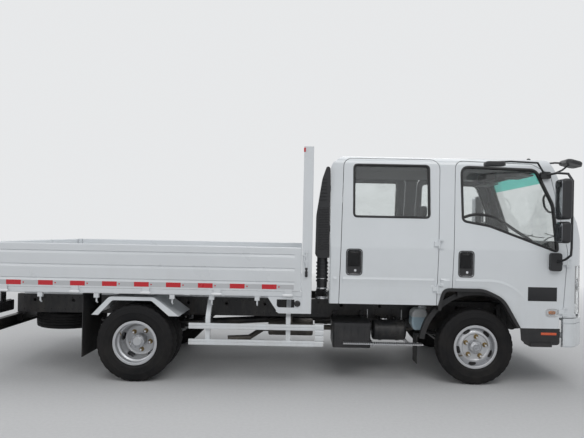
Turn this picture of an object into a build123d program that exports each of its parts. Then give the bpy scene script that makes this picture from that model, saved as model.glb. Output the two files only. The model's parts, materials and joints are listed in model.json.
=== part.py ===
from build123d import *
import math
import os

# Light truck with a four-door cab over the engine and a flat bed with drop sides.
# Millimetres. X forward, Y to the truck's left, Z up, ground at Z = 0.
# The origin is under the middle of the truck, halfway along and halfway across.

# Lengths: every place along the truck is counted from an axle, the cab or the bed's rear end
front_overhang = 1091
wheelbase = 3360
rear_overhang = 1539
overall_length = front_overhang + wheelbase + rear_overhang
front_end = overall_length / 2
rear_end = -overall_length / 2
front_axle_x = front_end - front_overhang
rear_axle_x = front_axle_x - wheelbase

# Wheels and tyres
tyre_radius = 377
tyre_width = 196
tyre_shoulder = 26
bead_gap = 0.3
rim_flange_radius = 217
rim_barrel_radius = 200
rim_well_radius = 182
rim_half_width = 75
rim_lip = 8
rim_plate = 9
axle_z = tyre_radius
front_wheel_y = 830
rear_inner_wheel_y = 698
rear_outer_wheel_y = 942
twin_offset = (rear_outer_wheel_y - rear_inner_wheel_y) / 2
twin_joint_y = (rear_outer_wheel_y + rear_inner_wheel_y) / 2
hub_radius = 60
hub_hole_radius = 72
nut_circle_radius = 100
nut_radius = 15
nut_height = 22
stud_radius = 8
stud_length = 32
wheel_nuts = 5
hand_slots = 5
slot_circle_radius = 168
slot_length = 78
slot_width = 32
drum_radius = 158
drum_wall = 14
bearing_clearance = 0.05
front_spindle_radius = 24
rear_spindle_radius = 36

# Steering
king_pin_y = 700
king_pin_radius = 16
knuckle_gap = 2
steer_clearance = 0.05
steering_arm_length = 190
steering_arm_drop = 60
steering_arm_radius = 13
tie_rod_radius = 14

# Frame rails and cross members; the heights of cab and bed are counted from the rails
rail_above_axle = 183
rail_height = 200
rail_outer_y = 400
rail_flange = 65
rail_plate = 7
rail_bottom = axle_z + rail_above_axle
rail_top = rail_bottom + rail_height
rail_front = front_end - 205
rail_rear = rear_end + 45
cross_member_depth = 120
cross_member_length = 60
member_plate = 6
web_hole_radius = 18
web_hole_pitch = 420

# Springs
leaf_width = 70
leaf_thickness = 11
leaf_count = 5
leaf_step = 0.17
spring_pin_radius = 9
u_bolt_radius = 8
front_spring_y = 370
rear_spring_y = 500
front_spring_half = 560
rear_spring_half = 620
front_spring_seat = axle_z - 32
rear_spring_seat = axle_z + 75
front_eye_z = rail_bottom - 55
rear_eye_z = rail_bottom - 35

# Cab
cab_length = 2530
cab_height = 1528
cab_half_width = 1000
cab_roof_half_width = 880
cab_swage = 9
cab_wall = 50
cab_floor_plate = 40
door_gap = 6
glass_thickness = 5
glass_inset = 14
seat_gap = 0.3
cab_front = front_end - 33
cab_rear = cab_front - cab_length
cab_bottom = rail_top + 37
cab_nose_bottom = cab_bottom - 207
cab_roof = cab_bottom + cab_height
cab_belt_z = cab_bottom + 553
cab_swage_z = cab_bottom + 243
cab_rear_floor = cab_bottom + 73
cab_front_floor = cab_bottom + 223
cab_footwell_floor = cab_bottom + 33

# Bed
cab_to_bed = 271
bed_half_width = 1090
bed_above_rails = 155
bed_floor_thickness = 51
bed_sheet = 12
side_height = 425
side_thickness = 32
side_gap = 8
side_stile = 58
groove_depth = 9
groove_height = 30
hinge_pin_radius = 7
hinge_barrel_radius = 12
hinge_barrel_half = 34
hinge_lug_length = 14
hinge_slack = 1
pin_clearance = 0.05
post_width = 95
post_depth = 60
corner_post = 45
headboard_height = 1400
bearer_pitch = 340
bearer_width = 50
bed_front = cab_rear - cab_to_bed
bed_floor_top = rail_top + bed_above_rails
floor_under = bed_floor_top - bed_floor_thickness
tailgate_outer = rear_end + hinge_barrel_radius + 8
headboard_top = bed_floor_top + headboard_height

os.makedirs("parts", exist_ok=True)


def block(x0, x1, y0, y1, z0, z1):
    return Pos((x0 + x1) / 2, (y0 + y1) / 2, (z0 + z1) / 2) * Box(x1 - x0, y1 - y0, z1 - z0)


def rounded(rows):
    """Face from rows of (u, v, corner radius), joined by lines and arcs."""
    count = len(rows)
    corners = []
    for index, (u, v, radius) in enumerate(rows):
        corner = Vector(u, v)
        before = (Vector(*rows[index - 1][:2]) - corner).normalized()
        after = (Vector(*rows[(index + 1) % count][:2]) - corner).normalized()
        if radius:
            half = math.radians(before.get_angle(after)) / 2
            reach = radius / math.tan(half)
            inward = (before + after).normalized()
            middle = corner + inward * (radius / math.sin(half) - radius)
            corners.append((corner + before * reach, middle, corner + after * reach))
        else:
            corners.append((corner, None, corner))
    edges = []
    for index, (start, middle, end) in enumerate(corners):
        if middle is not None:
            edges.append(ThreePointArc(start, middle, end))
        following = corners[(index + 1) % count][0]
        if (following - end).length > 0.001:
            edges.append(Line(end, following))
    return make_face(edges)


def plain(rows):
    """Face from rows of (u, v) with sharp corners."""
    return make_face(Polyline(*rows, close=True))


def rounded_box(u0, u1, v0, v1, radius):
    return rounded([(u0, v0, radius), (u1, v0, radius), (u1, v1, radius), (u0, v1, radius)])


def grown(rows, amount):
    return offset(rounded(rows), amount, kind=Kind.INTERSECTION)


def side_plane(y):
    """Drawing plane seen from the truck's right, u along X and v along Z."""
    return Plane(origin=(0, y, 0), x_dir=(1, 0, 0), z_dir=(0, -1, 0))


def front_plane(x):
    """Drawing plane with u along Y and v along Z, facing forward."""
    return Plane(origin=(x, 0, 0), x_dir=(0, 1, 0), z_dir=(1, 0, 0))


def side_prism(face, y0, y1):
    return side_plane(y1) * extrude(face, y1 - y0)


def front_prism(face, x0, x1):
    return front_plane(x0) * extrude(face, x1 - x0)


def plan_prism(face, z0, z1):
    return Pos(0, 0, z0) * extrude(face, z1 - z0)


def rod(start, end, radius):
    """Round bar from one point to another."""
    a = Vector(*start)
    b = Vector(*end)
    plane = Plane(origin=a, z_dir=b - a)
    return plane * extrude(Circle(radius), (b - a).length)


def bent_rod(points, radius):
    """Round bar along a row of points, with a ball at each bend."""
    shape = None
    for start, end in zip(points, points[1:]):
        piece = rod(start, end, radius)
        shape = piece if shape is None else shape + piece
    for point in points[1:-1]:
        shape += Pos(*point) * Sphere(radius)
    return shape


def cross_rod(x, z, y0, y1, radius):
    return rod((x, y0, z), (x, y1, z), radius)


def mirrored(shape):
    return mirror(shape, about=Plane.XZ)


def both(shape):
    return shape + mirrored(shape)


def joined(shapes):
    """One shape from a row of shapes that meet."""
    total = None
    for shape in shapes:
        total = shape if total is None else total + shape
    return total


def write(name, shape):
    solids = shape.solids()
    compound = solids[0] if len(solids) == 1 else Compound(children=list(solids))
    compound.label = name
    export_step(compound, "parts/" + name + ".step")


def group(*shapes):
    """Solids of one node that stay apart."""
    return Compound(children=[solid for shape in shapes for solid in shape.solids()])


def pair(*shapes):
    """Like solids on both sides of the truck, kept apart."""
    return group(*shapes, *[mirrored(shape) for shape in shapes])


# Wheels, drawn on the right side: rows of (outward from the wheel's middle plane, radius, corner radius)
def turned(rows, x, y):
    face = rounded([(radius, -outward, corner) for outward, radius, corner in rows])
    return Pos(x, y, axle_z) * revolve(face, Axis.Y)


def tyre(x, y):
    half = tyre_width / 2
    seat = rim_half_width - bead_gap
    bead = rim_barrel_radius + bead_gap
    flange = rim_flange_radius + bead_gap
    bulge = rim_flange_radius + 62
    rows = [
        (-seat, bead, 0), (-seat, flange, 0), (-half, bulge, 70), (-half + 6, tyre_radius, tyre_shoulder),
        (half - 6, tyre_radius, tyre_shoulder), (half, bulge, 70), (seat, flange, 0), (seat, bead, 0),
    ]
    return turned(rows, x, y)


def rim(x, y, disc_rows):
    """Drop-centre rim with the disc whose rows are given."""
    half = rim_half_width
    edge = half + rim_lip
    inside = rim_barrel_radius - rim_plate
    well = rim_well_radius - rim_plate
    barrel = turned([
        (edge, rim_flange_radius, 3), (half, rim_flange_radius, 3), (half, rim_barrel_radius, 0),
        (24, rim_barrel_radius, 8), (10, rim_well_radius, 8), (-34, rim_well_radius, 8),
        (-48, rim_barrel_radius, 8), (-half, rim_barrel_radius, 0), (-half, rim_flange_radius, 3),
        (-edge, rim_flange_radius, 3), (-edge, inside, 6), (-52, inside, 8), (-38, well, 8), (14, well, 8),
        (28, inside, 8), (edge, inside, 6),
    ], x, y)
    return barrel + turned(disc_rows, x, y)


def disc_slots(x, y, first_angle, y0, y1):
    """Ring of hand holes through a wheel disc."""
    shapes = []
    for index in range(hand_slots):
        angle = first_angle + 360 / hand_slots * index
        hole = Rot(0, -angle, 0) * Pos(slot_circle_radius, 0, 0) * Rot(0, 90, 0) * Rot(90, 0, 0)
        outline = extrude(SlotOverall(slot_length, slot_width), (y1 - y0) / 2, both=True)
        shapes.append(Pos(x, (y0 + y1) / 2, axle_z) * hole * outline)
    return shapes


def nut_ring(x, face_y, first_angle):
    """Wheel nuts on their studs, standing outward from the disc's face."""
    shapes = []
    for index in range(wheel_nuts):
        angle = math.radians(first_angle + 360 / wheel_nuts * index)
        nut_x = x + nut_circle_radius * math.cos(angle)
        nut_z = axle_z + nut_circle_radius * math.sin(angle)
        place = Plane(origin=(nut_x, face_y + 1, nut_z), z_dir=(0, -1, 0))
        shapes.append(place * extrude(RegularPolygon(nut_radius, 6), nut_height))
        shapes.append(place * extrude(Circle(stud_radius), stud_length))
    return shapes


front_disc = 58
front_disc_rows = [
    (18, rim_barrel_radius - 1, 0), (30, rim_barrel_radius - 1, 0), (front_disc + 6, 150, 14),
    (front_disc + 9, 134, 6), (front_disc, 124, 4), (front_disc, hub_hole_radius, 0),
    (front_disc - rim_plate, hub_hole_radius, 0), (front_disc - rim_plate, 128, 4),
    (front_disc - 4, 138, 6),
    (front_disc - 5, 146, 12),
]
rear_disc_rows = [
    (-60, rim_barrel_radius - 1, 0), (-50, rim_barrel_radius - 1, 0), (-twin_offset + 16, 152, 14),
    (-twin_offset + rim_plate, 134, 8), (-twin_offset + rim_plate, hub_hole_radius, 0),
    (-twin_offset, hub_hole_radius, 0), (-twin_offset, 138, 8), (-twin_offset + 8, 158, 12),
]


def flipped(rows):
    """The same wheel disc put on the other way round."""
    return [(-outward, radius, corner) for outward, radius, corner in reversed(rows)]


def front_wheel():
    """Rim, drum and hub of the right front wheel."""
    x = front_axle_x
    y = -front_wheel_y
    bore = front_spindle_radius + bearing_clearance
    back = front_disc - rim_plate
    wheel = rim(x, y, front_disc_rows)
    for slot in disc_slots(x, y, 48, y - front_disc - 30, y - 31):
        wheel -= slot
    wheel += turned([
        (back, 126, 0), (back, bore, 0), (back - 16, bore, 0), (back - 16, 126, 0),
    ], x, y)
    wheel += turned([
        (front_disc + 32, bore, 0), (front_disc + 32, hub_radius - 6, 4), (front_disc, hub_radius, 0),
        (-40, hub_radius, 0), (-40, bore, 0),
    ], x, y)
    wheel += turned([
        (front_disc + 32, 0, 0), (front_disc + 46, 0, 0), (front_disc + 46, 34, 8),
        (front_disc + 32, hub_radius - 12, 0),
    ], x, y)
    wheel += turned([
        (back - 10, 100, 0), (back - 10, drum_radius, 4), (-50, drum_radius, 0),
        (-50, drum_radius - drum_wall, 0), (back - 22, drum_radius - drum_wall, 0), (back - 22, 100, 0),
    ], x, y)
    return wheel + joined(nut_ring(x, y - front_disc, 84))


hub_nose = 125


def rear_wheels():
    """Twin rims, drum and hub of the right rear wheel set; the discs meet between the two rims."""
    x = rear_axle_x
    y = -twin_joint_y
    bore = rear_spindle_radius + bearing_clearance
    outer = rim(x, -rear_outer_wheel_y, rear_disc_rows)
    inner = rim(x, -rear_inner_wheel_y, flipped(rear_disc_rows))
    for slot in disc_slots(x, y, 24, y - twin_offset + 52, y + twin_offset - 52):
        outer -= slot
        inner -= slot
    hub = turned([
        (hub_nose, bore, 0), (hub_nose, hub_radius - 6, 6), (hub_nose - 20, hub_radius, 4),
        (0, hub_radius, 0),
        (0, hub_hole_radius + 1, 0), (-16, hub_hole_radius + 1, 0), (-16, hub_radius, 0),
        (-60, hub_radius, 0),
        (-60, bore, 0),
    ], x, y)
    cap = turned([(hub_nose, 0, 0), (hub_nose + 10, 0, 0), (hub_nose + 10, 40, 5), (hub_nose, 50, 0)], x, y)
    drum = turned([
        (-24, hub_radius - 4, 0), (-24, 96, 0), (-80, drum_radius, 6), (-206, drum_radius, 0),
        (-206, drum_radius - drum_wall, 0), (-88, drum_radius - drum_wall, 6), (-38, 90, 0),
        (-38, hub_radius - 4, 0),
    ], x, y)
    return outer + inner + hub + cap + drum + joined(nut_ring(x, y - rim_plate, 60))


front_wheel_right = front_wheel()
front_tyre_right = tyre(front_axle_x, -front_wheel_y)
rear_wheels_right = rear_wheels()
rear_tyres_right = group(tyre(rear_axle_x, -rear_inner_wheel_y), tyre(rear_axle_x, -rear_outer_wheel_y))

write("front_wheel_right", front_wheel_right)
write("front_wheel_left", mirrored(front_wheel_right))
write("front_tyre_right", front_tyre_right)
write("front_tyre_left", mirrored(front_tyre_right))
write("rear_wheels_right", rear_wheels_right)
write("rear_wheels_left", mirrored(rear_wheels_right))
write("rear_tyres_right", rear_tyres_right)
write("rear_tyres_left", mirrored(rear_tyres_right))

# Spare wheel lying flat under the rear of the frame, disc uppermost
spare_x = rear_end + 475
spare_z = axle_z + 78
spare_top = spare_z + tyre_width / 2
spare_disc_z = spare_z + front_disc
spare_turn = Pos(spare_x, 0, spare_z) * Rot(90, 0, 0) * Pos(0, 0, -axle_z)
spare_disc_rows = flipped(front_disc_rows)
write("spare_wheel", spare_turn * rim(0, 0, spare_disc_rows))
write("spare_tyre", spare_turn * tyre(0, 0))

# Places of the cross members: the rail's rear end, four counted from the rear axle, two under the cab, the nose
member_places = [
    rail_rear + 60, rear_axle_x - 624, rear_axle_x + 276, rear_axle_x + 1076, cab_rear - 12, cab_rear + 628,
    rail_front - 50,
]
cab_mount_places = [(cab_rear + 68, cab_bottom), (rail_front - 50, cab_footwell_floor - cab_floor_plate)]
tow_lug_y = rail_outer_y - 33
tow_lug_plate = 16
tow_lug_drop = 90
tow_bore_radius = 14
tow_bore_x = rail_front - 50
tow_bore_z = rail_bottom - 52
carrier_height = 50


# Frame: two channel rails, the cross members riveted between them and the spare wheel's carrier
def frame():
    inner_y = rail_outer_y - rail_flange
    web_y = rail_outer_y - rail_plate
    channel = [
        (rail_outer_y, rail_bottom, 6), (rail_outer_y, rail_top, 6), (inner_y, rail_top, 0),
        (inner_y, rail_top - rail_plate, 0), (web_y, rail_top - rail_plate, 0),
        (web_y, rail_bottom + rail_plate, 0),
        (inner_y, rail_bottom + rail_plate, 0), (inner_y, rail_bottom, 0),
    ]
    rail = front_prism(rounded(channel), rail_rear, rail_front)
    holes = int((rail_front - rail_rear) / web_hole_pitch)
    for index in range(holes):
        x = rail_rear + 190 + index * web_hole_pitch
        rail -= cross_rod(x, rail_top - rail_height / 3, web_y - 4, rail_outer_y + 4, web_hole_radius)
    shape = both(rail)
    member_z = (rail_bottom + rail_top) / 2
    half = cross_member_length / 2
    low = member_z - cross_member_depth / 2
    high = member_z + cross_member_depth / 2
    for x in member_places:
        member = block(x - half, x + half, -web_y, web_y, low, high)
        hollow = block(x - half + member_plate, x + half + 1, -web_y, web_y, low + member_plate,
                       high - member_plate)
        shape += member - hollow
    beam_z = spare_top + 22
    shape += block(spare_x - 30, spare_x + 30, -web_y, web_y, beam_z, beam_z + carrier_height)
    shape += rod((spare_x, 0, spare_disc_z - 3), (spare_x, 0, beam_z + 10), 12)
    shape += rod((spare_x, 0, spare_disc_z - rim_plate - 8), (spare_x, 0, spare_disc_z - rim_plate),
                 hub_hole_radius + 20)
    shape += rod((spare_x, 0, spare_disc_z - rim_plate - 4), (spare_x, 0, spare_disc_z + 4),
                 hub_hole_radius - 4)
    lug = side_prism(rounded([
        (rail_front - 100, rail_bottom, 0), (rail_front - 85, rail_bottom - tow_lug_drop, 20),
        (rail_front - 15, rail_bottom - tow_lug_drop, 20), (rail_front, rail_bottom, 0),
    ]), tow_lug_y - tow_lug_plate / 2, tow_lug_y + tow_lug_plate / 2)
    lug -= cross_rod(tow_bore_x, tow_bore_z, tow_lug_y - 40, tow_lug_y + 40, tow_bore_radius)
    shape += both(lug)
    for x, top in cab_mount_places:
        shape += both(block(x - 40, x + 40, inner_y, rail_outer_y, rail_top, top))
    return shape


write("frame", frame())


# Leaf springs: a pack of bent leaves with an eye at each end, cheeks under the rail and U-bolts at the axle
def leaf_pack(axle_x, y, half_length, eye_z, seat_z):
    sag = eye_z - seat_z
    leaves = []
    for index in range(leaf_count):
        reach = half_length * (1 - leaf_step * index)
        drop = index * leaf_thickness
        rise = sag * (reach / half_length) ** 2
        top = [Vector(-reach, seat_z + rise - drop), Vector(0, seat_z - drop),
               Vector(reach, seat_z + rise - drop)]
        low = [Vector(p.X, p.Y - leaf_thickness) for p in top]
        face = make_face([
            ThreePointArc(*top), Line(top[2], low[2]), ThreePointArc(*low), Line(low[0], top[0]),
        ])
        leaves.append(Pos(axle_x, 0, 0) * side_prism(face, y - leaf_width / 2, y + leaf_width / 2))
    return joined(leaves)


def spring_ends(axle_x, y, half_length, eye_z):
    """Rolled eyes with their pins, and the two cheeks of each hanger."""
    shapes = []
    half = leaf_width / 2
    pin_z = eye_z - leaf_thickness / 2
    for end in (-1, 1):
        x = axle_x + end * half_length
        shapes.append(cross_rod(x, pin_z, y - half, y + half, 24))
        shapes.append(cross_rod(x, pin_z, y - half - 14, y + half + 14, spring_pin_radius))
        for side in (-1, 1):
            cheek_y = y + side * (half + 5)
            cheek = rounded([
                (x - 46, rail_bottom, 0), (x - 30, pin_z - 32, 26), (x + 30, pin_z - 32, 26),
                (x + 46, rail_bottom, 0),
            ])
            shapes.append(side_prism(cheek, cheek_y - 4, cheek_y + 4))
        low_y = min(y - half - 9, rail_outer_y - rail_flange)
        high_y = max(y + half + 9, rail_outer_y)
        shapes.append(block(x - 46, x + 46, low_y, high_y, rail_bottom - 8, rail_bottom))
    return joined(shapes)


bolt_reach = 68
bolt_under = 60


def u_bolts(axle_x, y, pack_top, pad_z):
    """Two bolts that go over the leaves and down through the axle's pad, with their nuts under it."""
    shapes = []
    leg = leaf_width / 2 + u_bolt_radius
    top = pack_top + u_bolt_radius - 1
    for end in (-1, 1):
        x = axle_x + end * bolt_reach
        shapes.append(bent_rod([
            (x, y - leg, pad_z - bolt_under), (x, y - leg, top), (x, y + leg, top),
            (x, y + leg, pad_z - bolt_under),
        ], u_bolt_radius))
    shapes.append(block(axle_x - bolt_reach - 12, axle_x + bolt_reach + 12, y - leaf_width / 2 + 1,
                        y + leaf_width / 2 - 1, pack_top - 1, pack_top + 12))
    return joined(shapes)


pack_height = leaf_count * leaf_thickness
pad_half_length = bolt_reach + 20
pad_half_width = leaf_width / 2 + 2 * u_bolt_radius + 10
pad_height = 12


def axle_pad(axle_x, y, seat_z, height):
    """Pad on an axle that a leaf pack sits on, with the holes for its U-bolts."""
    pad = block(axle_x - pad_half_length, axle_x + pad_half_length, y - pad_half_width, y + pad_half_width,
                seat_z - height, seat_z)
    leg = leaf_width / 2 + u_bolt_radius
    for end in (-1, 1):
        for side in (-1, 1):
            hole = Pos(axle_x + end * bolt_reach, y + side * leg, seat_z - height / 2)
            pad -= hole * Cylinder(u_bolt_radius + seat_gap, height + 2)
    return pad


def pad_nuts(axle_x, y, under_z):
    shapes = []
    leg = leaf_width / 2 + u_bolt_radius
    for end in (-1, 1):
        for side in (-1, 1):
            place = Pos(axle_x + end * bolt_reach, y + side * leg, under_z - 14)
            shapes.append(place * extrude(RegularPolygon(14, 6), 14))
    return joined(shapes)


def spring(axle_x, y, half_length, eye_z, seat_z):
    pack_low = leaf_pack(axle_x, y, half_length, eye_z, seat_z + pack_height)
    bolts = u_bolts(axle_x, y, seat_z + pack_height, seat_z) + pad_nuts(axle_x, y, seat_z - pad_height)
    return pack_low + spring_ends(axle_x, y, half_length, eye_z) + bolts


front_spring = spring(front_axle_x, front_spring_y, front_spring_half, front_eye_z, front_spring_seat)
rear_spring = spring(rear_axle_x, rear_spring_y, rear_spring_half, rear_eye_z, rear_spring_seat)
write("front_springs", pair(front_spring))
write("rear_springs", pair(rear_spring))

beam_half = 32
beam_height = 75


# Front axle: a dropped I-beam with an eye at each end for the king pin
def front_axle():
    eye = 40
    top = front_spring_seat - pad_height
    rows = [
        (-king_pin_y, axle_z - eye, 0), (-king_pin_y, axle_z + eye, 0), (-620, axle_z + eye - 5, 40),
        (-520, top, 60), (520, top, 60), (620, axle_z + eye - 5, 40), (king_pin_y, axle_z + eye, 0),
        (king_pin_y, axle_z - eye, 0), (600, axle_z - eye, 60), (480, top - beam_height, 60),
        (-480, top - beam_height, 60), (-600, axle_z - eye, 60),
    ]
    beam = front_prism(rounded(rows), front_axle_x - beam_half, front_axle_x + beam_half)
    groove = rounded([(-500, top - 16, 8), (500, top - 16, 8), (470, top - 58, 8), (-470, top - 58, 8)])
    for x0 in (front_axle_x - beam_half, front_axle_x + beam_half - 20):
        beam -= front_prism(groove, x0, x0 + 20)
    pads = axle_pad(front_axle_x, front_spring_y, front_spring_seat, pad_height)
    shape = beam + both(pads)
    for side in (-1, 1):
        shape += Pos(front_axle_x, side * king_pin_y, axle_z) * Cylinder(38, 2 * eye)
    for side in (-1, 1):
        shape -= Pos(front_axle_x, side * king_pin_y,
                     axle_z) * Cylinder(king_pin_radius + steer_clearance, 3 * eye)
    return shape


write("front_axle", front_axle())

tie_rod_x = front_axle_x - steering_arm_length
tie_rod_y = king_pin_y
arm_z = axle_z - steering_arm_drop
tie_rod_z = arm_z - steering_arm_radius - 0.3 - 18


# Steering knuckle: fork round the axle's eye, backing plate, spindle for the hub and arm for the tie rod
def knuckle():
    """Right-hand knuckle."""
    y = -king_pin_y
    x = front_axle_x
    low = 40 + knuckle_gap
    high = low + 32
    shape = Pos(x, y, axle_z) * Cylinder(king_pin_radius, 2 * high + 2)
    for z0, z1 in ((axle_z + low, axle_z + high), (axle_z - high, axle_z - low)):
        shape += rod((x, y, z0), (x, y, z1), 36)
        shape += block(x - 30, x + 30, y - 50, y, z0, z1)
    shape += block(x - 36, x + 36, y - 62, y - 42, axle_z - high, axle_z + high)
    shape += cross_rod(x, axle_z, y - 75, y - 61, drum_radius + 6)
    shape += cross_rod(x, axle_z, -front_wheel_y - front_disc - 26, y - 60, front_spindle_radius)
    shape += rod((x, y, arm_z), (tie_rod_x, -tie_rod_y, arm_z), steering_arm_radius)
    return shape + Pos(tie_rod_x, -tie_rod_y, arm_z) * Cylinder(20, 2 * steering_arm_radius)


knuckle_right = knuckle()
write("knuckle_right", knuckle_right)
write("knuckle_left", mirrored(knuckle_right))


def tie_rod():
    """Cross tube below the two arms, with a ball joint under each."""
    tube = cross_rod(tie_rod_x, tie_rod_z, -tie_rod_y, tie_rod_y, tie_rod_radius)
    for side in (-1, 1):
        tube += Pos(tie_rod_x, side * tie_rod_y, tie_rod_z) * Cylinder(18, 36)
        tube += cross_rod(tie_rod_x, tie_rod_z, side * (tie_rod_y - 130), side * (tie_rod_y - 60),
                          tie_rod_radius + 5)
    return tube


write("tie_rod", tie_rod())

pinion_x = rear_axle_x + 260
pinion_z = axle_z + 30
axle_tube_radius = 55
banjo_radius = 165


# Rear axle: tapered tube, round housing with its cover, spring seats and the drums' backing plates
def rear_axle():
    x = rear_axle_x
    inboard = rear_inner_wheel_y - 98
    tube = cross_rod(x, axle_z, -inboard, inboard, axle_tube_radius)
    cone = Plane(origin=(x, 0, axle_z), z_dir=(0, 1, 0)) * Cone(banjo_radius - 40, axle_tube_radius, 260,
                                                               align=(Align.CENTER, Align.CENTER,
                                                                      Align.MIN))
    housing = (Pos(x, 0, axle_z) * Sphere(banjo_radius)) & block(x - 150, x + 170, -120, 120, 0, 2 * axle_z)
    nose = rod((x + 80, 0, pinion_z), (pinion_x, 0, pinion_z),
               70) + rod((x + 60, 0, pinion_z), (x + 170, 0, pinion_z), 95)
    shape = tube + both(cone) + housing + nose
    for side in (-1, 1):
        shape += axle_pad(x, side * rear_spring_y, rear_spring_seat, pad_height)
        shape += block(x - 46, x + 46, side * rear_spring_y - 40, side * rear_spring_y + 40, axle_z + 20,
                       rear_spring_seat - pad_height + 1)
        shape += cross_rod(x, axle_z, side * (inboard - 10), side * inboard, drum_radius)
        shape += cross_rod(x, axle_z, side * inboard, side * (twin_joint_y + hub_nose - 4),
                           rear_spindle_radius)
    return shape


write("rear_axle", rear_axle())

gearbox_rear = front_axle_x - 724
gearbox_z = rail_bottom - 15
engine_rear = front_axle_x - 344
engine_front = front_axle_x + 386
engine_half_width = 260
engine_low = rail_bottom - 130
engine_high = cab_front_floor - 65

# Engine and gearbox as one plain block, with the propeller shaft behind it
engine_block = block(engine_rear, engine_front, -engine_half_width, engine_half_width, engine_low,
                     engine_high)
engine_block += rod((engine_rear + 10, 0, gearbox_z), (gearbox_rear, 0, gearbox_z), 120)
engine_block += both(block(front_axle_x - 24, front_axle_x + 36, engine_half_width - 10,
                           rail_outer_y - rail_plate,
                           rail_bottom + 60, rail_bottom + 100))
write("engine_block", engine_block)
prop_shaft = rod((gearbox_rear, 0, gearbox_z), (gearbox_rear - 50, 0, gearbox_z), 52)
prop_shaft += rod((gearbox_rear - 40, 0, gearbox_z), (pinion_x + 40, 0, pinion_z), 40)
prop_shaft += rod((pinion_x, 0, pinion_z), (pinion_x + 50, 0, pinion_z), 52)
write("prop_shaft", prop_shaft)

# Equipment on the outside of the rails
box_rear = cab_rear + 50
box_front = cab_rear + 428
box_outer = cab_half_width - 100
box_inner = rail_outer_y + 30
box_low = rail_bottom - 215
box_high = rail_bottom + 25
arm_half = 20


def battery_box():
    """Box with a lid and upright ribs, on two brackets."""
    shape = plan_prism(rounded_box(box_rear, box_front, -box_outer, -box_inner, 25), box_low, box_high)
    shape += plan_prism(rounded_box(box_rear - 6, box_front + 6, -box_outer - 6, -box_inner + 4, 30),
                        box_high - 28, box_high + 6)
    for index in range(5):
        x = box_rear + 50 + index * (box_front - box_rear - 100) / 4
        shape += block(x - 7, x + 7, -box_outer - 5, -box_outer + 5, box_low + 20, box_high - 40)
    for x in (box_rear + 48, box_front - 48):
        shape += block(x - arm_half, x + arm_half, -box_inner - 90, -rail_outer_y, box_high + 4,
                       box_high + 15)
        shape += block(x - arm_half, x + arm_half, -box_inner, -rail_outer_y, box_high - 25, box_high + 55)
    return shape


write("battery_box", battery_box())

tank_rear = cab_rear - 102
tank_front = cab_rear + 698
tank_outer = cab_half_width - 100
tank_inner = rail_outer_y + 30
tank_low = rail_bottom - 230
tank_high = rail_bottom + 80
strap_plate = 5


def fuel_tank():
    """Left-hand tank with its straps, brackets and filler neck."""
    outline = rounded_box(tank_inner, tank_outer, tank_low, tank_high, 60)
    shape = front_prism(outline, tank_rear, tank_front)
    ring = offset(outline, strap_plate) - offset(outline, -2)
    for x in (tank_rear + 140, tank_front - 140):
        shape += front_prism(ring, x - arm_half, x + arm_half)
        shape += block(x - arm_half, x + arm_half, rail_outer_y, tank_inner + 40, tank_high - 70,
                       tank_high + 10)
    neck = Vector(tank_rear + 70, tank_outer - 90, tank_high - 20)
    shape += rod(neck, neck + Vector(0, 60, 60), 38)
    return shape + rod(neck + Vector(0, 56, 56), neck + Vector(0, 76, 76), 46)


reserve_rear = cab_rear + 470
reserve_front = cab_rear + 818
reserve_y = -rail_outer_y - 240
reserve_z = rail_bottom - 75
reserve_radius = 105


def reserve_tank():
    """Round tank on the right with two bands hung from the rail."""
    middle = (reserve_rear + reserve_front) / 2
    place = Plane(origin=(middle, reserve_y, reserve_z), z_dir=(1, 0, 0))
    length = reserve_front - reserve_rear
    shape = place * fillet(Cylinder(reserve_radius, length).edges(), 30)
    for x in (reserve_rear + 70, reserve_front - 100):
        band = rod((x, reserve_y, reserve_z), (x + 30, reserve_y, reserve_z), reserve_radius + strap_plate)
        shape += band
        shape += block(x, x + 30, reserve_y, -rail_outer_y, reserve_z + reserve_radius - 12,
                       reserve_z + reserve_radius + strap_plate)
        shape += block(x, x + 30, -rail_outer_y - 10, -rail_outer_y, reserve_z + reserve_radius - 12,
                       rail_bottom + 110)
    return shape


write("tanks", group(fuel_tank(), reserve_tank()))

step_low = rail_bottom - 165
step_plate = 7
tooth_pitch = 22
tooth_height = 9
step_outer = cab_half_width - 25
step_inner = cab_half_width - 95
step_front = cab_rear + 940
step_arm = 8


def cab_step(x0, arm_places):
    """Left-hand toothed tread below the rear door, on flat arms bolted to the rail."""
    count = int((step_front - x0) / tooth_pitch)
    rows = [(x0, step_low), (x0, step_low + step_plate)]
    for index in range(count):
        start = x0 + index * tooth_pitch
        rows += [(start + 0.2 * tooth_pitch, step_low + step_plate + tooth_height),
                 (start + 0.6 * tooth_pitch, step_low + step_plate + tooth_height),
                 (start + 0.8 * tooth_pitch, step_low + step_plate),
                 (start + tooth_pitch, step_low + step_plate)]
    rows.append((x0 + count * tooth_pitch, step_low))
    shape = side_prism(plain(rows), step_inner, step_outer)
    arm = plain([
        (step_outer - 6, step_low + 1), (step_outer - 6, step_low - 16), (rail_outer_y + 40, step_low - 45),
        (rail_outer_y, step_low - 45), (rail_outer_y, rail_bottom + 100),
        (rail_outer_y + 26, rail_bottom + 100),
        (rail_outer_y + 26, step_low + 1),
    ])
    for x in arm_places:
        shape += front_prism(arm, x - step_arm / 2, x + step_arm / 2)
    return shape


right_step = mirrored(cab_step(cab_rear + 148, (box_front + 22, step_front - 120)))
left_step = cab_step(tank_front + 20, (tank_front + 40, step_front - 120))
write("cab_steps", group(right_step, left_step))

bottle_x = front_axle_x - 504
bottle_low = rail_bottom - 65
bottle_inner = rail_outer_y + 165
bottle_outer = rail_outer_y + 308


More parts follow.
